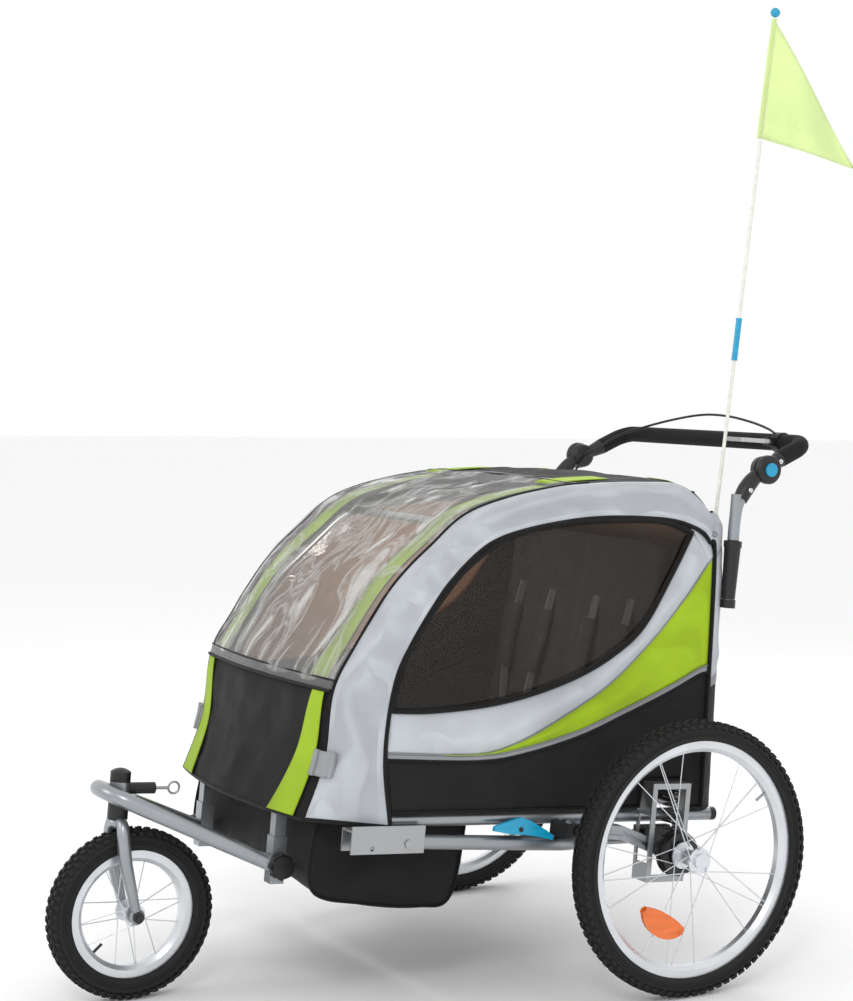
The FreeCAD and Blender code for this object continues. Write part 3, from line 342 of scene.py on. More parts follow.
CLOTH = {
    "silver": ("silver_cloth", "silver_fabric"),
    "lime": ("lime_cloth", "silver_fabric"),
    "grey": ("grey_trim", "silver_fabric"),
    "black": ("black_cloth", "black_fabric"),
    "lining": ("lining_cloth", "black_fabric"),
    "tan": ("tan_lining", "black_fabric"),
    "net": ("seat_cloth", "black_fabric"),
    "padding": ("seat_cloth", "seat_fabric"),
    "clear": ("clear_film", "window_film"),
    "smoked": ("smoked_film", "window_film"),
    # Brown of painted backlight for the right window.
    "painted_backlight": ("painted_backlight_film", "window_film"),
    "grey_film": ("grey_film", "window_film"),
}


def cloth(obj, look, *replaced):
    """Show a piece of the cabin's cloth or film in one of its looks."""
    return show(obj, "frame", *CLOTH[look], *replaced)


def mesh_piece(name, points, faces, smooth=True):
    """A mesh from points in the level frame."""
    mesh = bpy.data.meshes.new(name)
    mesh.from_pydata([at(*p) for p in points], [], faces)
    mesh.update()
    obj = bpy.data.objects.new(name, mesh)
    bpy.context.scene.collection.objects.link(obj)
    if smooth:
        mesh.polygons.foreach_set("use_smooth", [True] * len(mesh.polygons))
    return obj


def grid_faces(rows, columns, close_columns=False):
    """Squares between the points of a grid; close_columns joins its last column to its first."""
    faces = []
    for i in range(rows - 1):
        for j in range(columns if close_columns else columns - 1):
            here, below, beside = i * columns, (i + 1) * columns, (j + 1) % columns
            faces.append((here + j, here + beside, below + beside, below + j))
    return faces


def slab_faces(rows, columns):
    """Faces of a closed slab whose points are one grid for the top, then one for the bottom."""
    size = rows * columns
    faces = grid_faces(rows, columns)
    faces += [tuple(size + k for k in face[::-1]) for face in faces]
    rim = list(range(columns - 1)) + [i * columns + columns - 1 for i in range(rows - 1)]
    rim += [(rows - 1) * columns + j for j in range(columns - 1, 0, -1)]
    rim += [i * columns for i in range(rows - 1, 0, -1)]
    for a, b in zip(rim, rim[1:] + rim[:1]):
        faces.append((a, a + size, b + size, b))
    return faces


def sheet_piece(name, rows, thickness):
    """A cloth panel from rows of points, given a thickness in millimetres."""
    points = [p for row in rows for p in row]
    obj = mesh_piece(name, points, grid_faces(len(rows), len(rows[0])))
    solid = obj.modifiers.new("thick", "SOLIDIFY")
    solid.thickness = thickness / 1000
    solid.offset = 0
    return obj


def between(a, b, c, d, t):
    """A point from b (t = 0) to c (t = 1) on a smooth curve through four points."""
    return 0.5 * (2 * b + (c - a) * t + (2 * a - 5 * b + 4 * c - d) * t ** 2
                  + (3 * b - a - 3 * c + d) * t ** 3)


def smooth_line(points, count):
    """Evenly spaced points on a curve through the given ones, in 2 or 3 dimensions."""
    p = np.array(points, float)
    p = np.vstack([2 * p[0] - p[1], p, 2 * p[-1] - p[-2]])
    dense = []
    for i in range(1, len(p) - 2):
        for t in np.linspace(0, 1, 24, endpoint=False):
            dense.append(between(*p[i - 1:i + 3], t))
    dense = np.array(dense + [p[-2]])
    run = np.concatenate([[0], np.cumsum(np.linalg.norm(np.diff(dense, axis=0), axis=1))])
    where = np.linspace(0, run[-1], count)
    return np.stack([np.interp(where, run, dense[:, k]) for k in range(dense.shape[1])], 1)


def along(points, u):
    """The point at index u, which may lie between two of the given points, on a smooth curve."""
    last = len(points) - 1
    i = min(int(u), last - 1)
    t = u - i
    a, b = np.array(points[max(i - 1, 0)], float), np.array(points[i], float)
    c, d = np.array(points[i + 1], float), np.array(points[min(i + 2, last)], float)
    return between(a, b, c, d, t)


def pipe(name, points, radius, body="frame", paint="black_trim", slot="black_fabric", closed=False,
         replaced=()):
    """A round cord of piping, wire or tube through points of the level frame."""
    data = bpy.data.curves.new(name, "CURVE")
    data.dimensions = "3D"
    data.bevel_depth = radius / 1000
    data.bevel_resolution = 3
    data.use_fill_caps = True
    line = data.splines.new("POLY")
    line.points.add(len(points) - 1)
    for point, p in zip(line.points, points):
        point.co = (*at(*p), 1)
    line.use_cyclic_u = closed
    obj = bpy.data.objects.new(name, data)
    bpy.context.scene.collection.objects.link(obj)
    return show(obj, body, paint, slot, *replaced)


def ripple(point, size, reach, seed=0.0):
    """Smooth wrinkle height in millimetres at a point of the level frame."""
    p = Vector((point[0] / size + seed, point[1] / size - seed, point[2] / size))
    return reach * noise.noise(p)


def creases(point, size, reach, seed=0.0):
    """Sharper folds, like those of stiff film or coated cloth."""
    p = Vector((point[0] / size + seed, point[1] / size, point[2] / size + seed))
    return reach * (1 - 2 * abs(noise.noise(p)))


def rounded(obj, width, segments=2):
    """Bevel the sharp edges of a piece by a width in millimetres."""
    bevel = obj.modifiers.new("edge", "BEVEL")
    bevel.width = width / 1000
    bevel.segments = segments
    bevel.limit_method = "ANGLE"
    return obj


def block(name, low, high, edge=1.5):
    """A bevelled block between two corners of the level frame."""
    (x0, y0, z0), (x1, y1, z1) = low, high
    points = [(x, y, z) for x in (x0, x1) for y in (y0, y1) for z in (z0, z1)]
    faces = [(0, 1, 3, 2), (4, 6, 7, 5), (0, 4, 5, 1), (2, 3, 7, 6), (0, 2, 6, 4), (1, 5, 7, 3)]
    return rounded(mesh_piece(name, points, faces, False), edge, 3)


def lathe(name, profile, start, axis, count=40, smooth=True, capped=True):
    """Turn (distance along axis, radius) pairs about a line of the level frame."""
    along_axis = Vector(axis).normalized()
    side = along_axis.orthogonal().normalized()
    other = along_axis.cross(side)
    points = []
    for step, radius in profile:
        for k in range(count):
            a = 2 * math.pi * k / count
            points.append(tuple(Vector(start) + along_axis * step
                                + (side * math.cos(a) + other * math.sin(a)) * radius))
    faces = grid_faces(len(profile), count, close_columns=True)
    if not capped:
        return mesh_piece(name, points, faces, smooth)
    faces += [tuple(range(count))[::-1],
              tuple(range((len(profile) - 1) * count, len(profile) * count))]
    obj = mesh_piece(name, points, faces, smooth)
    obj.data.polygons[-1].use_smooth = obj.data.polygons[-2].use_smooth = False
    return obj


# ---- cabin cover ----
# Two outlines, point by point: along the arch, and along the piping round the side wall.
ARCH = [(687, 50), (657, 150), (650, 265), (615, 340), (555, 440), (490, 510), (405, 580),
        (235, 630), (50, 650), (-30, 646), (-89, 605), (-112, 544), (-136, 50)]
SIDE = [(563, 50), (580, 154), (577, 243), (560, 316), (508, 411), (450, 484), (374, 538),
        (212, 577), (53, 586), (-24, 575), (-60, 552), (-75, 500), (-75, 50)]
ARCH_Y = 250.0
FRONT_BULGE = 33.0
LIP, ROOF, REAR_TOP, HEM = 2.0, 7.0, 9.35, 12.0
STRIP_IN, STRIP_OUT = 0.68, 0.90
CORNER_U, BLACK_TOP_U = 10.9, 11.46
EDGE_PUFF, PUFF_OUT, PUFF_SIDE = 13.0, 0.66, 0.75
WALL_FOOT_Y, WALL_LEAN, WALL_FOOT_Z = 325.0, 0.048, 50.0


def side_y(z):
    """How far out the side wall stands at a height; it leans in a little."""
    return WALL_FOOT_Y - WALL_LEAN * (z - WALL_FOOT_Z)


def cover_point(u, v, lift=0.0):
    """A point on the cover: u runs over the arch from the front hem to the rear hem, and v runs
    across, from -1 to 1 between the arches and on to 2 or -2 at the side walls."""
    ax, az = along(ARCH, u)
    before, after = along(ARCH, max(u - 0.05, 0)), along(ARCH, min(u + 0.05, HEM))
    out = np.array([after[1] - before[1], -(after[0] - before[0])])
    out = out / np.linalg.norm(out)
    if abs(v) <= 1:
        bulge = FRONT_BULGE * max(0.0, 1 - (u / 5.0) ** 1.3) * (1 - v * v)
        crown = (5 * (1 - v * v) if u > ROOF else 0) + lift
        return (ax + bulge + out[0] * crown, v * ARCH_Y, az + out[1] * crown)
    sx, sz = along(SIDE, u)
    w = abs(v) - 1
    puff = EDGE_PUFF * math.sin(math.pi * min(w, 1)) ** 0.8 + lift
    x, y, z = ax + (sx - ax) * w, ARCH_Y + (side_y(sz) - ARCH_Y) * w, az + (sz - az) * w
    x, z, y = x + out[0] * puff * PUFF_OUT, z + out[1] * puff * PUFF_OUT, y + puff * PUFF_SIDE
    return (x, math.copysign(y, v), z)


def cover_patch(name, u0, u1, v0, v1, steps_u, steps_v, wrinkle=1.5, lift=0.0, fold=0.0, thick=1.2,
                seed=0.0, size=60.0):
    """A wrinkled panel of the cover between two values of u and two of v."""
    rows = []
    for i in range(steps_u + 1):
        row = []
        for j in range(steps_v + 1):
            u, v = u0 + (u1 - u0) * i / steps_u, v0 + (v1 - v0) * j / steps_v
            p = cover_point(u, v)
            edge = min(i, steps_u - i, 4) / 4 * min(j, steps_v - j, 3) / 3
            height = ripple(p, size, wrinkle, seed) + creases(p, size * 1.3, fold, seed + 5)
            row.append(cover_point(u, v, lift + height * edge))
        rows.append(row)
    return sheet_piece(name, rows, thick)


def make_arches():
    """The broad bands over the arches, down to the rear corners, with their hems and piping."""
    for side, name in SIDES:
        band = cover_patch("arch_band_" + name, 0, CORNER_U, side * 1.0, side * 2.0, 190, 26,
                           3.4, 0, 4.2, seed=side * 3.1, size=58)
        hem = [cover_point(0, side * (1 + t), 0.8) for t in np.linspace(0, 1, 24)]
        pipe("arch_hem_" + name, hem, 3.6)
        cloth(band, "silver", *(["canopy_arches"] if side > 0 else []))
        lining = cover_patch("arch_lining_" + name, 0.1, CORNER_U, side * 1.0, side * 1.98,
                             90, 8, 0, -6.0)
        cloth(lining, "lining")
        upper = cover_patch("rear_corner_" + name, CORNER_U, BLACK_TOP_U, side * 1.0, side * 2.0, 30, 20,
                            3.0, 0, 3.0, seed=side * 3.1, size=58)
        cloth(upper, "silver")
        lower = cover_patch("rear_corner_lower_" + name, BLACK_TOP_U, 11.93, side * 1.0, side * 2.0,
                            24, 12, 1.6)
        cloth(lower, "black")
        stripe = cover_patch("rear_corner_stripe_" + name, BLACK_TOP_U - 0.02, BLACK_TOP_U + 0.01,
                             side * 1.0, side * 2.0, 3, 12, 0.5, 1.2)
        cloth(stripe, "grey")
        for v, label, end in ((1.0, "inner", ROOF + 0.3), (2.0, "outer", 11.9)):
            line = [cover_point(u, side * v, 0.6) for u in np.linspace(0, end, 130)]
            pipe("arch_piping_%s_%s" % (label, name), line, 3.2 if v < 2 else 4.0)


def lower_strip(name, side):
    """The lime strip on the lower front, which widens towards the hem, on top of the black."""
    rows = []
    for i in range(41):
        u = 0.02 + (LIP - 0.08) * i / 40
        low, high = 0.64 + 0.09 * u, 0.925 + 0.01 * u
        rows.append([cover_point(u, side * (low + (high - low) * j / 8), 6.5) for j in range(9)])
    return sheet_piece(name, rows, 1.2)


def make_front():
    """The clear front window, the black panel under it and the lime strips that run over both."""
    window_low = LIP + 0.17
    window = cover_patch("front_window_film", LIP, ROOF + 0.2, -1, 1, 90, 60,
                         4.0, 3.0, 5.0, 0.6, 2.0, 85)
    cloth(window, "clear", "front_window")
    band = cover_patch("front_window_lower_band", LIP - 0.03, window_low, -0.99, 0.99, 6, 50,
                       0.8, 4.2)
    cloth(band, "grey_film")
    for u, name in ((LIP - 0.03, "lip"), (window_low, "band")):
        line = [cover_point(u, v, 5.0) for v in np.linspace(-1, 1, 60)]
        pipe("front_binding_" + name, line, 3.0 if name == "lip" else 1.6)
    panel = cover_patch("front_lower_panel", 0, LIP, -1, 1, 40, 50, 5.0, 0, 3.0, seed=7.0)
    cloth(panel, "black", "front_panel")
    hem = [cover_point(0, v, 0.5) for v in np.linspace(-1, 1, 60)]
    pipe("front_hem", hem, 3.6)
    for side, name in SIDES:
        low = lower_strip("front_lime_lower_" + name, side)
        cloth(low, "lime")
        high = cover_patch("front_lime_upper_" + name, window_low, ROOF, side * STRIP_IN,
                           side * STRIP_OUT, 80, 8, 2.0, -2.0, 2.0, seed=2.0, size=85)
        cloth(high, "lime")
        for v in (STRIP_IN, STRIP_OUT):
            line = [cover_point(u, side * v, -1.0) for u in np.linspace(window_low, ROOF + 0.2, 90)]
            pipe("front_strip_seam_%s_%d" % (name, v * 100), line, 1.4)


def make_roof():
    """The black roof panel, with short lime strips at its front and rear."""
    roof = cover_patch("roof_black_panel", ROOF, REAR_TOP, -1, 1, 50, 50, 3.0, 0.5, 2.0, seed=11.0)
    cloth(roof, "black", "roof_panel")
    for side, name in SIDES:
        for label, start, end, steps in (("front_", ROOF - 0.02, ROOF + 0.6, 14),
                                         ("strip_", 8.6, REAR_TOP - 0.03, 24)):
            strip = cover_patch("roof_lime_" + label + name, start, end, side * STRIP_IN,
                                side * STRIP_OUT, steps, 6, 1.0, 3.6, seed=11.0)
            cloth(strip, "lime")
    for u, name in ((ROOF + 0.1, "front"), (REAR_TOP, "rear")):
        pipe("roof_seam_" + name, [cover_point(u, v, 2.5) for v in np.linspace(-1, 1, 40)], 2.6)


def make_rear():
    """The rear of the cover: pale above and black below, with a net pocket and a lining."""
    upper = cover_patch("rear_upper_panel", REAR_TOP, BLACK_TOP_U, -1, 1, 50, 50,
                        3.0, 0, 2.0, seed=13.0)
    cloth(upper, "silver", "rear_cover")
    lower = cover_patch("rear_lower_panel", BLACK_TOP_U, HEM, -1, 1, 30, 50,
                        3.0, 0, 2.0, seed=14.0)
    cloth(lower, "black")
    lining = cover_patch("rear_lining", REAR_TOP + 0.1, 11.9, -0.98, 0.98, 30, 30,
                         2.0, -7.0, seed=16.0)
    cloth(lining, "tan")
    pocket = cover_patch("rear_mesh_pocket", 11.55, 11.9, -0.7, 0.7, 16, 36, 2.0, 8.0, seed=15.0)
    cloth(pocket, "net")
    stripe = cover_patch("rear_stripe", BLACK_TOP_U - 0.02, BLACK_TOP_U + 0.01, -1, 1, 3, 50,
                         0.4, 1.6)
    cloth(stripe, "grey")
    for v in (-0.99, 0.99):
        line = [cover_point(u, v, 1.0) for u in np.linspace(REAR_TOP, HEM, 60)]
        pipe("rear_piping_%d" % (v * 100 + 100), line, 2.6)
    pipe("rear_hem", [cover_point(HEM, v, 0.6) for v in np.linspace(-1, 1, 40)], 3.6)


# The side wall's colour bands, from the hem up, as curves in X and Z.
GREY_LOW = [(-75, 316), (-54, 311), (10, 279), (106, 237), (200, 199), (315, 168), (406, 157),
            (578, 160)]
LIME_LOW = [(-75, 330), (-54, 322), (10, 290), (106, 248), (200, 210), (315, 179), (406, 168),
            (579, 171)]
LIME_HIGH = [(-73, 530), (-56, 504), (-19, 454), (46, 378), (135, 295), (226, 238), (320, 190),
             (406, 168.5), (579, 171.5)]
WINDOW_LOW = [(-20, 566), (23, 484), (76, 396), (133, 347), (204, 308), (296, 275), (387, 254),
              (497, 242), (575, 241)]
WINDOW_HIGH = [(-20, 566), (53, 582), (210, 574), (299, 559), (372, 535), (447, 481), (505, 409),
               (538, 356), (558, 314), (575, 241)]
TOP_LINE = [(-74, 520), (-70, 536), (-60, 552), (-24, 575), (-20, 576)]
CORNER_LOW = [(-73, 528), (-62, 510), (-48, 530), (-30, 560), (-20, 566)]
WALL_HEM = [(-75, 73), (-36, 73), (-31, 124), (58, 124), (63, 76), (563, 73)]
WALL_REAR_X, HEM_LENGTH, TOP_LENGTH = -75, 638, 653
CLOTH_IN = 2


def wall_band(name, low, high, side, rows, puff, wrinkle, seed, lift=0.0, thick=1.2, count=110):
    """Cloth between two curves of the side wall."""
    a, b = smooth_line(low, count), smooth_line(high, count)
    made = []
    for i in range(rows + 1):
        t, row = i / rows, []
        for j in range(count):
            x, z = a[j] + (b[j] - a[j]) * t
            edge = math.sin(math.pi * t) ** 0.5 * min(1, j / 5, (count - 1 - j) / 5)
            out = puff * math.sin(math.pi * t) * math.sin(math.pi * j / (count - 1)) ** 0.5
            out += edge * (ripple((x, 0, z), 70, wrinkle, seed)
                           + creases((x, 0, z), 90, wrinkle * 0.5, seed))
            row.append((x, side * (side_y(z) - CLOTH_IN + lift + out), z))
        made.append(row)
    return sheet_piece(name + ("_left" if side > 0 else "_right"), made, thick)


def make_side(side, side_name):
    """One side wall: its colour bands with their linings, the window, the seams and the hem."""
    name = "_" + side_name
    lower = straight_band("side_lower" + name, WALL_HEM, GREY_LOW, side)
    cloth(lower, "black", "side_panel" + name)
    bands = (("side_grey_stripe", GREY_LOW, LIME_LOW, 3, 0.5, 0.3, "grey", 0.8),
             ("side_lime", LIME_LOW, LIME_HIGH, 20, 3.0, 3.6, "lime", 0.0),
             ("side_silver", LIME_HIGH, WINDOW_LOW, 18, 5.0, 3.6, "silver", 0.0),
             ("side_silver_corner", CORNER_LOW, TOP_LINE, 8, 2.0, 1.2, "silver", 0.0))
    for label, low, high, rows, puff, wrinkle, look_name, lift in bands:
        band = wall_band(label, low, high, side, rows, puff, wrinkle, 3.0 + side, lift)
        cloth(band, look_name)
        back = wall_band(label + "_lining", low, high, side, 3, 0.0, 0.0, 1.0, -4.0, 0.8, 60)
        cloth(back, "lining")
    glass = wall_band("side_window_film", WINDOW_LOW, WINDOW_HIGH, side, 18,
                      -3.0, 1.6, 9.0, -1.0, 0.5)
    # The left window is smoked film. The right window's brown is painted backlight, daylight seen through
    # its tint from behind, given as a surface colour.
    if side > 0:
        cloth(glass, "smoked", "side_windows")
    else:
        cloth(glass, "painted_backlight")
    outline = np.vstack([smooth_line(WINDOW_LOW, 90), smooth_line(WINDOW_HIGH, 90)[::-1][1:-1]])
    pipe("window_binding" + name, [(x, side * (side_y(z) + 1.0), z) for x, z in outline], 5.0,
         closed=True)
    for line, label, radius in ((LIME_LOW, "lime_low", 1.2), (GREY_LOW, "grey_low", 2.6),
                                (LIME_HIGH, "lime_high", 0.9)):
        points = [(x, side * (side_y(z) + 0.3), z) for x, z in smooth_line(line, 90)]
        pipe("wall_seam_%s%s" % (label, name), points, radius,
             paint="black_trim" if label == "grey_low" else "grey_trim")
    pipe("wall_hem" + name, [(x, side * (side_y(z) + 0.5), z) for x, z in WALL_HEM], 3.2)


def straight_band(name, low, high, side, rows=24, count=140):
    """Cloth from a hem with corners up to a smooth curve, column by column at the same X."""
    top = smooth_line(high, 200)
    low_x, low_z = [p[0] for p in low], [p[1] for p in low]
    made = []
    for i in range(rows + 1):
        t, row = i / rows, []
        for j in range(count):
            x_low = WALL_REAR_X + HEM_LENGTH * j / (count - 1)
            x_high = WALL_REAR_X + TOP_LENGTH * j / (count - 1)
            z_low = np.interp(x_low, low_x, low_z)
            z_high = np.interp(x_high, top[:, 0], top[:, 1])
            x, z = x_low + (x_high - x_low) * t, z_low + (z_high - z_low) * t
            edge = min(1, 4 * t, 4 * (1 - t)) * min(1, j / 5, (count - 1 - j) / 5)
            out = edge * (ripple((x, 0, z), 80, 3.0, side) + creases((x, 0, z), 100, 1.6, side))
            row.append((x, side * (side_y(z) - CLOTH_IN + out), z))
        made.append(row)
    return sheet_piece(name, made, 1.2)


# ---- bag, seat and harness ----
BAG_LINE = [(366, 69), (367, 46), (386, -90), (450, -106), (560, -97), (656, -71), (657, 34),
            (641, 46), (640, 69)]
BAG_Y = 240.0
BAG_CENTRE = (520.0, -5.0)
SEAT_FOOT = (48, 151)
BACK_RUN, BACK_LENGTH, BACK_HALF_WIDTH, BACK_THICK = (-38.0, 389.7), 392, 249, 22


def make_floor_bag():
    """The soft footwell under the cabin: two sagging side walls and one long wrap-around."""
    outline = smooth_line(BAG_LINE, 90)
    centre = np.array(BAG_CENTRE)
    wrap = []
    for i in range(41):
        y = BAG_Y * (2 * i / 40 - 1)
        hollow = 1 - 0.045 * (1 - abs(y / BAG_Y) ** 3)
        row = []
        for x, z in outline:
            fold = ripple((x, y, z), 70, 4.0, 2.0) - 3.0
            away = np.array([x, z]) - centre
            away = away / np.linalg.norm(away)
            p = centre + (np.array([x, z]) - centre) * hollow + away * fold
            row.append((p[0], y, p[1]))
        wrap.append(row)
    cloth(sheet_piece("footwell_wrap", wrap, 1.2), "black", "floor_bag")
    for side, name in SIDES:
        wall = []
        for i in range(17):
            t = i / 16
            row = []
            for x, z in outline:
                q = centre + (np.array([x, z]) - centre) * t
                depth = (1 - t ** 2) * ripple((q[0], 0, q[1]), 90, 9.0, side) - 6 * (1 - t ** 2)
                row.append((q[0], side * (BAG_Y + depth), q[1]))
            wall.append(row)
        cloth(sheet_piece("footwell_wall_" + name, wall, 1.2), "black")
        seam = [(x, side * (BAG_Y + 0.5), z) for x, z in outline]
        pipe("footwell_piping_" + name, seam, 2.4)


ACROSS = (0, 1, 0)


def cushion(name, low, high, crown, channels, node, edge=14.0):
    """A padded board in its own box: rounded edges, stitched channels and a soft crown on top."""
    (x0, y0, z0), (x1, y1, z1) = low, high
    rows, columns = 36, 60
    points = []
    for top in (1, 0):
        for i in range(rows + 1):
            for j in range(columns + 1):
                s, t = i / rows, j / columns
                x, y = x0 + (x1 - x0) * s, y0 + (y1 - y0) * t
                near = min(x - x0, x1 - x, y - y0, y1 - y)
                round_off = edge * (1 - math.sqrt(max(0.0, 1 - (1 - min(1, near / edge)) ** 2)))
                seam = min(abs(t - c) for c in channels) * (y1 - y0)
                dip = crown * math.exp(-(seam / 7) ** 2)
                if top:
                    z = z1 - crown * (1 - math.sin(math.pi * s) * 0.6) - round_off - dip
                    z += ripple((x, y, z), 60, 1.5, 4.0) * min(1, near / 30) - 1.0
                else:
                    z = z0 + round_off * 0.5
                points.append((x, y, z))
    obj = mesh_piece(name, points, slab_faces(rows + 1, columns + 1))
    cloth(obj, "padding", node)


def make_seat():
    """The seat cushion, and the padded back that leans up from it with a seam across."""
    cushion("seat_cushion", (21, -261, 74.5), (351, 261, 149), 9.0, (0.0, 0.5, 1.0), "seat_base")
    back = np.array(BACK_RUN)
    back = back / np.linalg.norm(back)
    steps, columns, rows = 45, 61, []
    for i in range(steps + 1):
        t = i / steps
        row = []
        for j in range(columns):
            y = BACK_HALF_WIDTH * (2 * j / (columns - 1) - 1)
            x = SEAT_FOOT[0] + back[0] * BACK_LENGTH * t
            z = SEAT_FOOT[1] + back[1] * BACK_LENGTH * t
            across = min(abs(y), abs(abs(y) - BACK_HALF_WIDTH)) / 18
            rise = -3 - 5 * math.exp(-across ** 2) - 4 * math.exp(-((t - 0.62) / 0.02) ** 2)
            rise += ripple((x, y, z), 60, 1.5, 6.0) - 1.5
            row.append((x + rise * back[1], y, z - rise * back[0]))
        rows.append(row)
    shell = [[(x - BACK_THICK * back[1], y, z + BACK_THICK * back[0]) for x, y, z in row]
             for row in rows]
    points = [p for row in rows + shell for p in row]
    obj = mesh_piece("seat_back_padding", points, slab_faces(steps + 1, columns))
    cloth(obj, "padding", "seat_back")


def strap(name, points, width, side_dir, paint="harness_web", slot="harness_webbing", thick=2.0):
    """Flat webbing along a line; side_dir says which way its width lies."""
    line = smooth_line(points, 60)
    half = np.array(side_dir, float) * width / 2
    rows = [[tuple(p + half * part) for part in (-1, -0.5, 0, 0.5, 1)] for p in line]
    return show(sheet_piece(name, rows, thick), "frame", paint, slot)


def make_harness():
    """Straps for two children: shoulder straps with pads, and lap and crotch straps at a clip."""
    for k, y in enumerate((-185, -75, 75, 185)):
        name = "shoulder_strap_%d" % k
        inner = y + (15 if y < 0 else -15) * (1 if abs(y) > 100 else -1)
        obj = strap(name, [(53, inner, 196), (42, y, 300), (22, y, 400), (-2, y, 500)], 24, ACROSS)
        if k == 0:
            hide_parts("harness")
        pad = strap("shoulder_pad_%d" % k, [(50, (y + inner) / 2, 262), (40, y, 320), (28, y, 385)],
                    38, ACROSS, *CLOTH["padding"], 7.0)
    for y, name in ((130, "left"), (-130, "right")):
        buckle = block("crotch_buckle_" + name, (80, y - 19, 152), (95, y + 19, 195), 5)
        show(buckle, "frame", *MOULDED)
        strap("crotch_strap_" + name, [(110, y, 151.5), (98, y, 154), (90, y, 165)], 26, ACROSS)
        for turn, label in ((1, "a"), (-1, "b")):
            strap("lap_strap_%s_%s" % (name, label),
                  [(88, y + turn * 17, 183), (84, y + turn * 50, 176), (64, y + turn * 92, 158)],
                  22, (0.2, 0, 0.98))


# ---- tabs and small trim ----
def buckle_tab(name, u, v, turn):
    """The grey tab and clip that holds a lower front corner of the cover."""
    rows = []
    for i in range(9):
        rows.append([cover_point(u - 0.19 + 0.38 * i / 8, v + turn * (-0.10 + 0.30 * j / 6), 8.0)
                     for j in range(7)])
    show(sheet_piece(name + "_tab", rows, 3.0), "frame", "grey_web", "silver_fabric")
    for k, reach in enumerate((-0.055, 0.155)):
        line = [cover_point(u - 0.2 + 0.4 * t, v + turn * reach, 11.0) for t in np.linspace(0, 1, 8)]
        pipe("%s_clip_%d" % (name, k), line, 3.4, "frame", "grey_web", "silver_fabric")


def make_tabs():
    for side, name in SIDES:
        buckle_tab("corner_" + name, 0.93, side * 1.03, side)


# ---- wheels ----
REAR_WHEEL_Y, REAR_VALVE_ANGLE = 405, 2.5


def tread(name, node, centre, outer, depth, width, body, lugs, rows_across):
    """A tyre: a lathed carcass, from radius depth out to outer, with rows of raised blocks."""
    carcass = []
    half = width / 2
    for k in range(25):
        a = math.pi * k / 24 - math.pi / 2
        bulge = abs(math.cos(a)) ** 0.62
        carcass.append((math.sin(a) * half * (0.98 if abs(a) < 1.3 else 0.9),
                        depth + (outer - 3.2 - depth) * bulge))
    carcass += [(half * 0.55, depth - 1.5), (-half * 0.55, depth - 1.5), carcass[0]]
    obj = lathe(name + "_carcass", carcass, centre, (0, 1, 0), 120, capped=False)
    show(obj, body, "tyre_rubber", "tyre", node)
    points, faces = [], []
    for row, offset in enumerate(rows_across):
        spread = abs(offset) / half
        top = outer - 0.4 - (spread ** 3.2) * 11
        base = top - 5.5
        half_y = 3.6 if abs(offset) < half * 0.75 else 2.6
        for k in range(lugs):
            mid = 2 * math.pi * (k + 0.5 * (row % 2)) / lugs
            half_a = math.pi / lugs * 0.62
            start = len(points)
            for radius, shrink in ((base, 1.0), (top, 0.82)):
                for sa, sy in ((-1, -1), (1, -1), (1, 1), (-1, 1)):
                    a = mid + sa * half_a * shrink + 0.25 * half_a * sy * (1 if offset > 0 else -1)
                    y = offset + sy * half_y * shrink
                    points.append((centre[0] + radius * math.cos(a), centre[1] + y,
                                   centre[2] + radius * math.sin(a)))
            faces += [tuple(start + q for q in face) for face in
                      ((0, 1, 5, 4), (1, 2, 6, 5), (2, 3, 7, 6), (3, 0, 4, 7), (4, 5, 6, 7))]
    lug = mesh_piece(name + "_tread_blocks", points, faces, False)
    show(lug, body, "tyre_rubber", "tyre")
    for side, tag in ((1, "outer"), (-1, "inner")):
        y = centre[1] + side * (half - 1.6)
        for radius, wide in ((depth + 9, 0.9), (depth + 15, 0.7)):
            ring = [(centre[0] + radius * math.cos(a), y, centre[2] + radius * math.sin(a))
                    for a in np.linspace(0, 2 * math.pi, 120, endpoint=False)]
            pipe("%s_sidewall_%s_%d" % (name, tag, radius), ring, wide, body, "tyre_rubber", "tyre",
                 closed=True)


def kidney(name, centre, radius, angle, span, side, body):
    """A curved reflector clipped between the spokes."""
    points, count = [], 25
    for layer in (0, 1):
        for k in range(count):
            t = k / (count - 1)
            a = math.radians(angle + (t - 0.5) * span)
            half = 21.0 * math.sin(math.pi * min(max(t, 0.03), 0.97)) ** 0.5
            for r in (radius - half, radius, radius + half):
                lift = 3.2 if r == radius else 0
                y = centre[1] + side * ((4 + lift) if layer else -4 - lift)
                points.append((centre[0] + r * math.cos(a), y, centre[2] + r * math.sin(a)))
    faces = []
    size = count * 3
    for layer in (0, 1):
        for k in range(count - 1):
            for m in (0, 1):
                a = layer * size + k * 3 + m
                faces.append((a, a + 1, a + 4, a + 3)[::1 if layer else -1])
    ring = [k * 3 for k in range(count)] + [size - 2]
    ring += [k * 3 + 2 for k in range(count - 1, -1, -1)] + [1]
    for a, b in zip(ring, ring[1:] + ring[:1]):
        faces.append((a, b, b + size, a + size))
    show(rounded(mesh_piece(name, points, faces), 0.8), body, "orange_lens", "black_plastic")


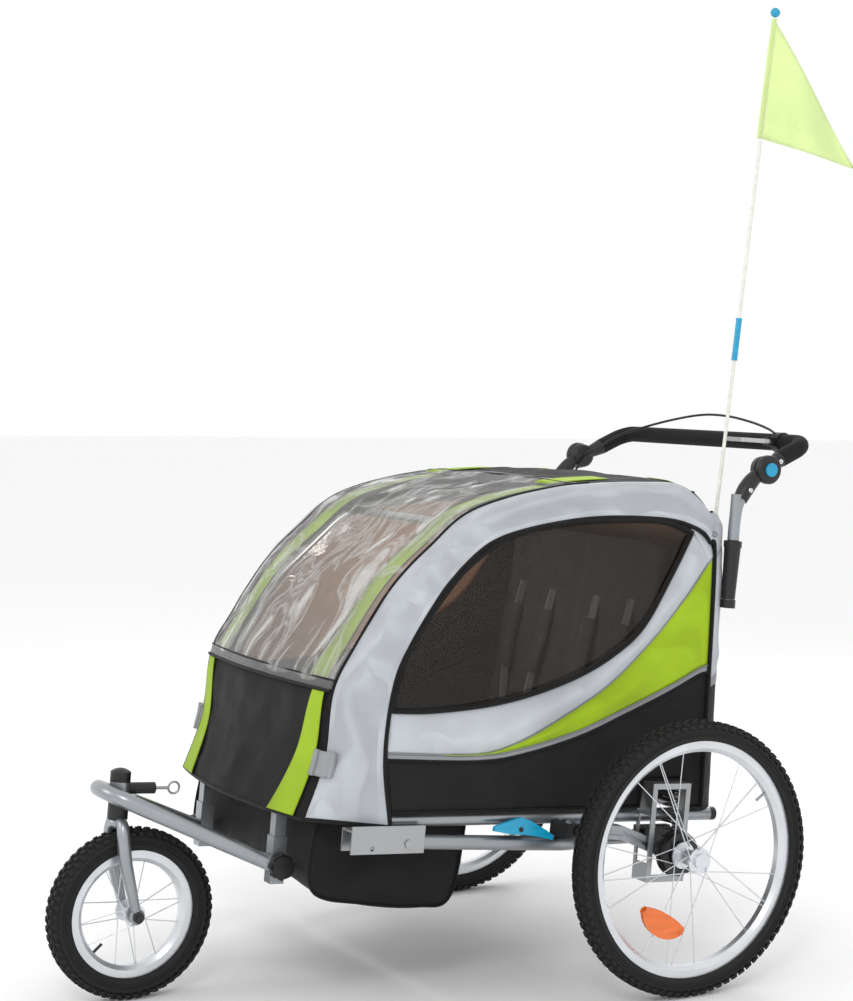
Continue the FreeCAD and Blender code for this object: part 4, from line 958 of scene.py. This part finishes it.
def make_wheels():
    """Knobbly tyres, a reflector in each rear wheel, and a valve in every rim."""
    for side, name in SIDES:
        centre = (0, side * REAR_WHEEL_Y, 0)
        tread("rear_tyre_" + name + "_look", "rear_tyre_" + name, centre, 244.0, 210.0, 42.0,
              "wheel_" + name, 84, (-17.5, -9.0, 0.0, 9.0, 17.5))
        kidney("wheel_reflector_" + name, centre, 127, -65, 44, side, "wheel_" + name)
        valve = [(r * math.cos(REAR_VALVE_ANGLE), side * REAR_WHEEL_Y, r * math.sin(REAR_VALVE_ANGLE))
                 for r in (195, 168)]
        pipe("rear_valve_" + name, valve, 2.6, "wheel_" + name, "zinc", "zinc")
    x, z = FRONT_AXLE
    tread("front_tyre_look", "front_tyre", (x, 0, z), 148.5, 111.5, 45.0, "front_wheel", 56,
          (-18.5, -9.5, 0.0, 9.5, 18.5))
    a = math.radians(-47)
    valve = [(x + r * math.cos(a), y, z + r * math.sin(a)) for r, y in ((97, 0), (70, 2))]
    pipe("front_valve", valve, 2.6, "front_wheel", "black_coat", "black_plastic")


# ---- suspension ----
SPRING_Y, SPRING_TOP_Z = 333, 118.8


def make_springs():
    """A real coil in place of each plain spring."""
    for side, name in SIDES:
        turns, wire, coil_r, low, high = 7.5, 2.1, 12.4, 12.4, 116.6
        line = []
        for k in range(361):
            t = k / 360
            lean_in = min(1, t / 0.08, (1 - t) / 0.08)
            a = 2 * math.pi * turns * t
            z = low + (high - low) * (t - 0.012 * math.sin(2 * math.pi * t) * lean_in)
            line.append((coil_r * math.cos(a), side * SPRING_Y + coil_r * math.sin(a), z))
        coil = swept_tube("coil_spring_" + name, line, wire, 8)
        show(coil, "frame", "black_coat", "spring_steel", "spring_" + name)
        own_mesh(coil)


def swept_tube(name, line, radius, sides):
    """A mesh tube along many points; radius is one size, or one for each point."""
    points = []
    radii = np.full(len(line), radius) if np.isscalar(radius) else radius
    for k, p in enumerate(line):
        radius = radii[k]
        ahead = Vector(line[min(k + 1, len(line) - 1)]) - Vector(line[max(k - 1, 0)])
        ahead.normalize()
        side = ahead.cross(Vector((0.02, 0.9, 0.1))).normalized()
        other = side.cross(ahead)
        for j in range(sides):
            a = 2 * math.pi * j / sides
            points.append(tuple(Vector(p) + (side * math.cos(a) + other * math.sin(a)) * radius))
    faces = grid_faces(len(line), sides, close_columns=True)
    faces += [tuple(range(sides))[::-1], tuple(range((len(line) - 1) * sides, len(line) * sides))]
    return mesh_piece(name, points, faces)


# ---- flag ----
POLE_Y = 262.0
HOIST = ((-125.2, 1293.0), (-136.5, 1512.0))
TIP = (-361.0, 1270.0)


def pole_point(z):
    """The flag pole's middle at a height; it leans back a little."""
    return (-94 - 44 * (z - 440) / 1084, POLE_Y, z)


def make_pole():
    """The pole with its ferrule, its ball on top and the grommet it passes through."""
    blue = ("blue_plastic", "blue_plastic")
    top = pole_point(1514)
    pipe("flag_pole_rod", [pole_point(z) for z in (436, 700, 960, 1230, 1508)], 3.4, "frame", "pole_gel",
         "flag_pole", replaced=("flag_pole",))
    pipe("flag_pole_ferrule", [pole_point(z) for z in (886, 923, 960)], 5.6, "frame", *blue)
    for z in (886, 960):
        lip = [pole_point(z - 1.6), pole_point(z + 1.6)]
        pipe("flag_ferrule_lip_%d" % z, lip, 6.1, "frame", *blue)
    ball = [(9 - 9 * math.cos(math.pi * k / 14), max(0.05, 9 * math.sin(math.pi * k / 14)))
            for k in range(15)]
    show(lathe("flag_ball", ball, (top[0], top[1], top[2] + 1), (0, 0, 1), 28), "frame", *blue)
    pipe("flag_grommet", [cover_point(10.1, 1.82, 2.0), cover_point(10.13, 1.82, 6.0)], 6.0, "frame",
         "chrome", "zinc")


def make_flag():
    """The triangular pennant, waving more towards its tip, and the hem that holds the pole."""
    foot, head, tip = np.array(HOIST[0]), np.array(HOIST[1]), np.array(TIP)
    rows = []
    for i in range(25):
        t = i / 24
        row = []
        low, high = foot + (tip - foot) * t, head + (tip - head) * t
        for j in range(15):
            s = j / 14
            x, z = low + (high - low) * s
            wave = 7 * math.sin(4.6 * t + 1.1 * s) * t ** 0.7
            row.append((x, POLE_Y + wave, z))
        rows.append(row)
    flag = sheet_piece("pennant_cloth", rows, 0.5)
    show(flag, "frame", "pennant_cloth", "flag_cloth", "flag_pennant")
    hoist = [foot + (head - foot) * t for t in np.linspace(0, 1, 12)]
    hem = pipe("pennant_hem", [(x, POLE_Y, z) for x, z in hoist], 5.0, "frame", "pennant_cloth",
               "flag_cloth")


# ---- brake cable ----
CABLE_R = 2.4
CABLE_UPPER = [(-252, 224, 760), (-258, 196, 768), (-264, 140, 779), (-268, 60, 789),
               (-268, -20, 790), (-264, -110, 778), (-250, -200, 757), (-222, -256, 733),
               (-173, -276, 690)]
CABLE_LOWER = [(-173, -281, 690), (-150, -284, 655), (-134, -288, 600), (-131, -290, 480),
               (-131, -291, 340), (-131, -293, 220), (-120, -322, 110), (-70, -334, 60),
               (-28, -340, 40)]


def make_cables():
    for name, points, count, body in (("upper", CABLE_UPPER, 90, "handlebar"),
                                      ("lower", CABLE_LOWER, 110, "frame")):
        node = "brake_cable_" + name
        pipe(node + "_look", smooth_line(points, count), CABLE_R, body, "cable_skin", "cable",
             replaced=(node,))


# ---- handle details ----
PIVOT_X, PIVOT_Z = -173, 690
MOULDED = ("black_plastic", "black_plastic")
TUBE = ("tube_grey", "frame_tube")


def bolt(name, centre, side, radius, body, paint="chrome"):
    """A low domed bolt head with a round recess, facing outward along Y."""
    profile = [(0, radius), (radius * 0.35, radius), (radius * 0.6, radius * 0.82),
               (radius * 0.66, radius * 0.5), (radius * 0.3, radius * 0.46)]
    show(lathe(name, profile, centre, (0, side, 0), 24), body, paint, "zinc")


def tapered(name, side, points, radii, body, finish, node=None):
    """An arm along a smooth line, with Y mirrored for the right side, that changes in thickness."""
    points = [(x, side * y, z) for x, y, z in points]
    line = smooth_line(points, 40)
    sizes = np.interp(np.linspace(0, 1, 40), np.linspace(0, 1, len(radii)), radii)
    obj = swept_tube(name, [tuple(p) for p in line], sizes, 24)
    show(obj, body, *finish, *([node] if node else []))


def make_handle_details():
    """Smooth arms, pivot hubs and bolt heads for each side of the handle."""
    for side, name in SIDES:
        tapered("handle_bend_" + name, side,
                [(-112, 304, 556), (-112, 304, 592), (-116, 304, 622), (-128, 304, 645)],
                (10.8, 10.8, 10.8, 10.8), "frame", TUBE)
        tapered("handle_knuckle_" + name, side,
                [(-120, 304, 632), (-132, 303, 652), (-146, 302, 669), (-160, 301, 681)],
                (13.5, 15.0, 14.5, 12.0), "frame", MOULDED, "handle_lower_arms" if side > 0 else None)
        housing = [(0, 20), (1.5, 24), (4, 26.5), (13, 26.5), (15.5, 24.5), (16.5, 21), (16.6, 17)]
        show(lathe("handle_hub_" + name, housing, (PIVOT_X, side * 302.5, PIVOT_Z), (0, side, 0), 48),
             "frame", *MOULDED)
        inner = [(0, 19), (1.5, 23), (14, 25), (15.4, 25)]
        show(lathe("handle_inner_hub_" + name, inner, (PIVOT_X, side * 286.5, PIVOT_Z), (0, side, 0),
                   48), "handlebar", *MOULDED, *(["handle_upper_arms"] if side > 0 else []))
        tapered("handle_arm_" + name, side,
                [(-176, 296.5, 692), (-192, 294.5, 700), (-210, 291.5, 709.5), (-228, 291, 719)],
                (11.0, 12.8, 15.3, 15.2), "handlebar", MOULDED)
        bolt("handle_arm_bolt_" + name, (-205, side * 305.5, 707), side, 4.6, "handlebar")
        bolt("handle_rivet_" + name, (-131, side * 317.5, 650), side, 4.6, "frame")


def make_fork():
    """Round fork legs that run down beside the wheel and sweep back to the axle."""
    for side, name in SIDES:
        tapered("fork_leg_" + name, side,
                [(913, 10, 3), (912, 25, -2), (911, 32, -24), (905, 33, -62), (890, 33, -112),
                 (878, 32, -150)],
                (9.0, 11.5, 12.0, 11.0, 9.5, 8.0), "fork", TUBE, "front_fork" if side > 0 else None)
        drop = [(-4.5, 9), (-4.0, 13), (3.6, 13), (4.2, 9)]
        show(lathe("fork_dropout_" + name, drop, (876, side * 31.5, -157), (0, side, 0), 28),
             "fork", *TUBE)
        bolt("front_axle_nut_" + name, (876, side * 35.8, -157), side, 8.0, "fork", "black_coat")
    crown = [(-9, 8), (-7.5, 15), (6, 16), (7.5, 12)]
    show(lathe("fork_crown", crown, (913, 0, -1), (0, 0, 1), 36), "fork", *TUBE)


# ---- plain CAD nodes that stay in view ----
FINISH = {
    "tube_grey": ("floor_frame", "cabin_hoops", "cross_tubes", "jogger_posts", "jogger_bar", "handle_posts",
                  "trailing_arm_left", "trailing_arm_right", "tow_arm"),
    "zinc": ("tow_bracket", "axle_block_left", "axle_block_right", "brake_lever",
             "lock_plunger", "suspension_boxes"),
    "black_coat": ("brake_drum_left", "brake_drum_right", "front_axle"),
    "rim_silver": ("rear_rim_left", "rear_rim_right", "front_rim", "rear_hub_left", "rear_hub_right",
                   "front_hub"),
    "black_plastic": ("rail_end_caps", "rail_brackets", "head_cups", "handle_sleeves", "handle_lower_arms",
                      "handle_upper_arms", "brake_clamp", "clamp_knob_left", "clamp_knob_right",
                      "hitch_coupler"),
    "blue_plastic": ("handle_button_left", "handle_button_right", "latch_lever"),
    "foam_rubber": ("grip_foam",),
}


def finish_nodes():
    for paint, names in FINISH.items():
        for name in names:
            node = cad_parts[name]
            node.data.materials.clear()
            node.data.materials.append(MATERIALS[paint])


# ---- all together ----
make_materials()
make_stage()
make_camera()
finish_nodes()
make_arches()
make_front()
make_roof()
make_rear()
for wall_side, wall_name in SIDES:
    make_side(wall_side, wall_name)
make_floor_bag()
make_seat()
make_harness()
make_tabs()
make_wheels()
make_springs()
make_pole()
make_flag()
make_cables()
make_handle_details()
make_fork()
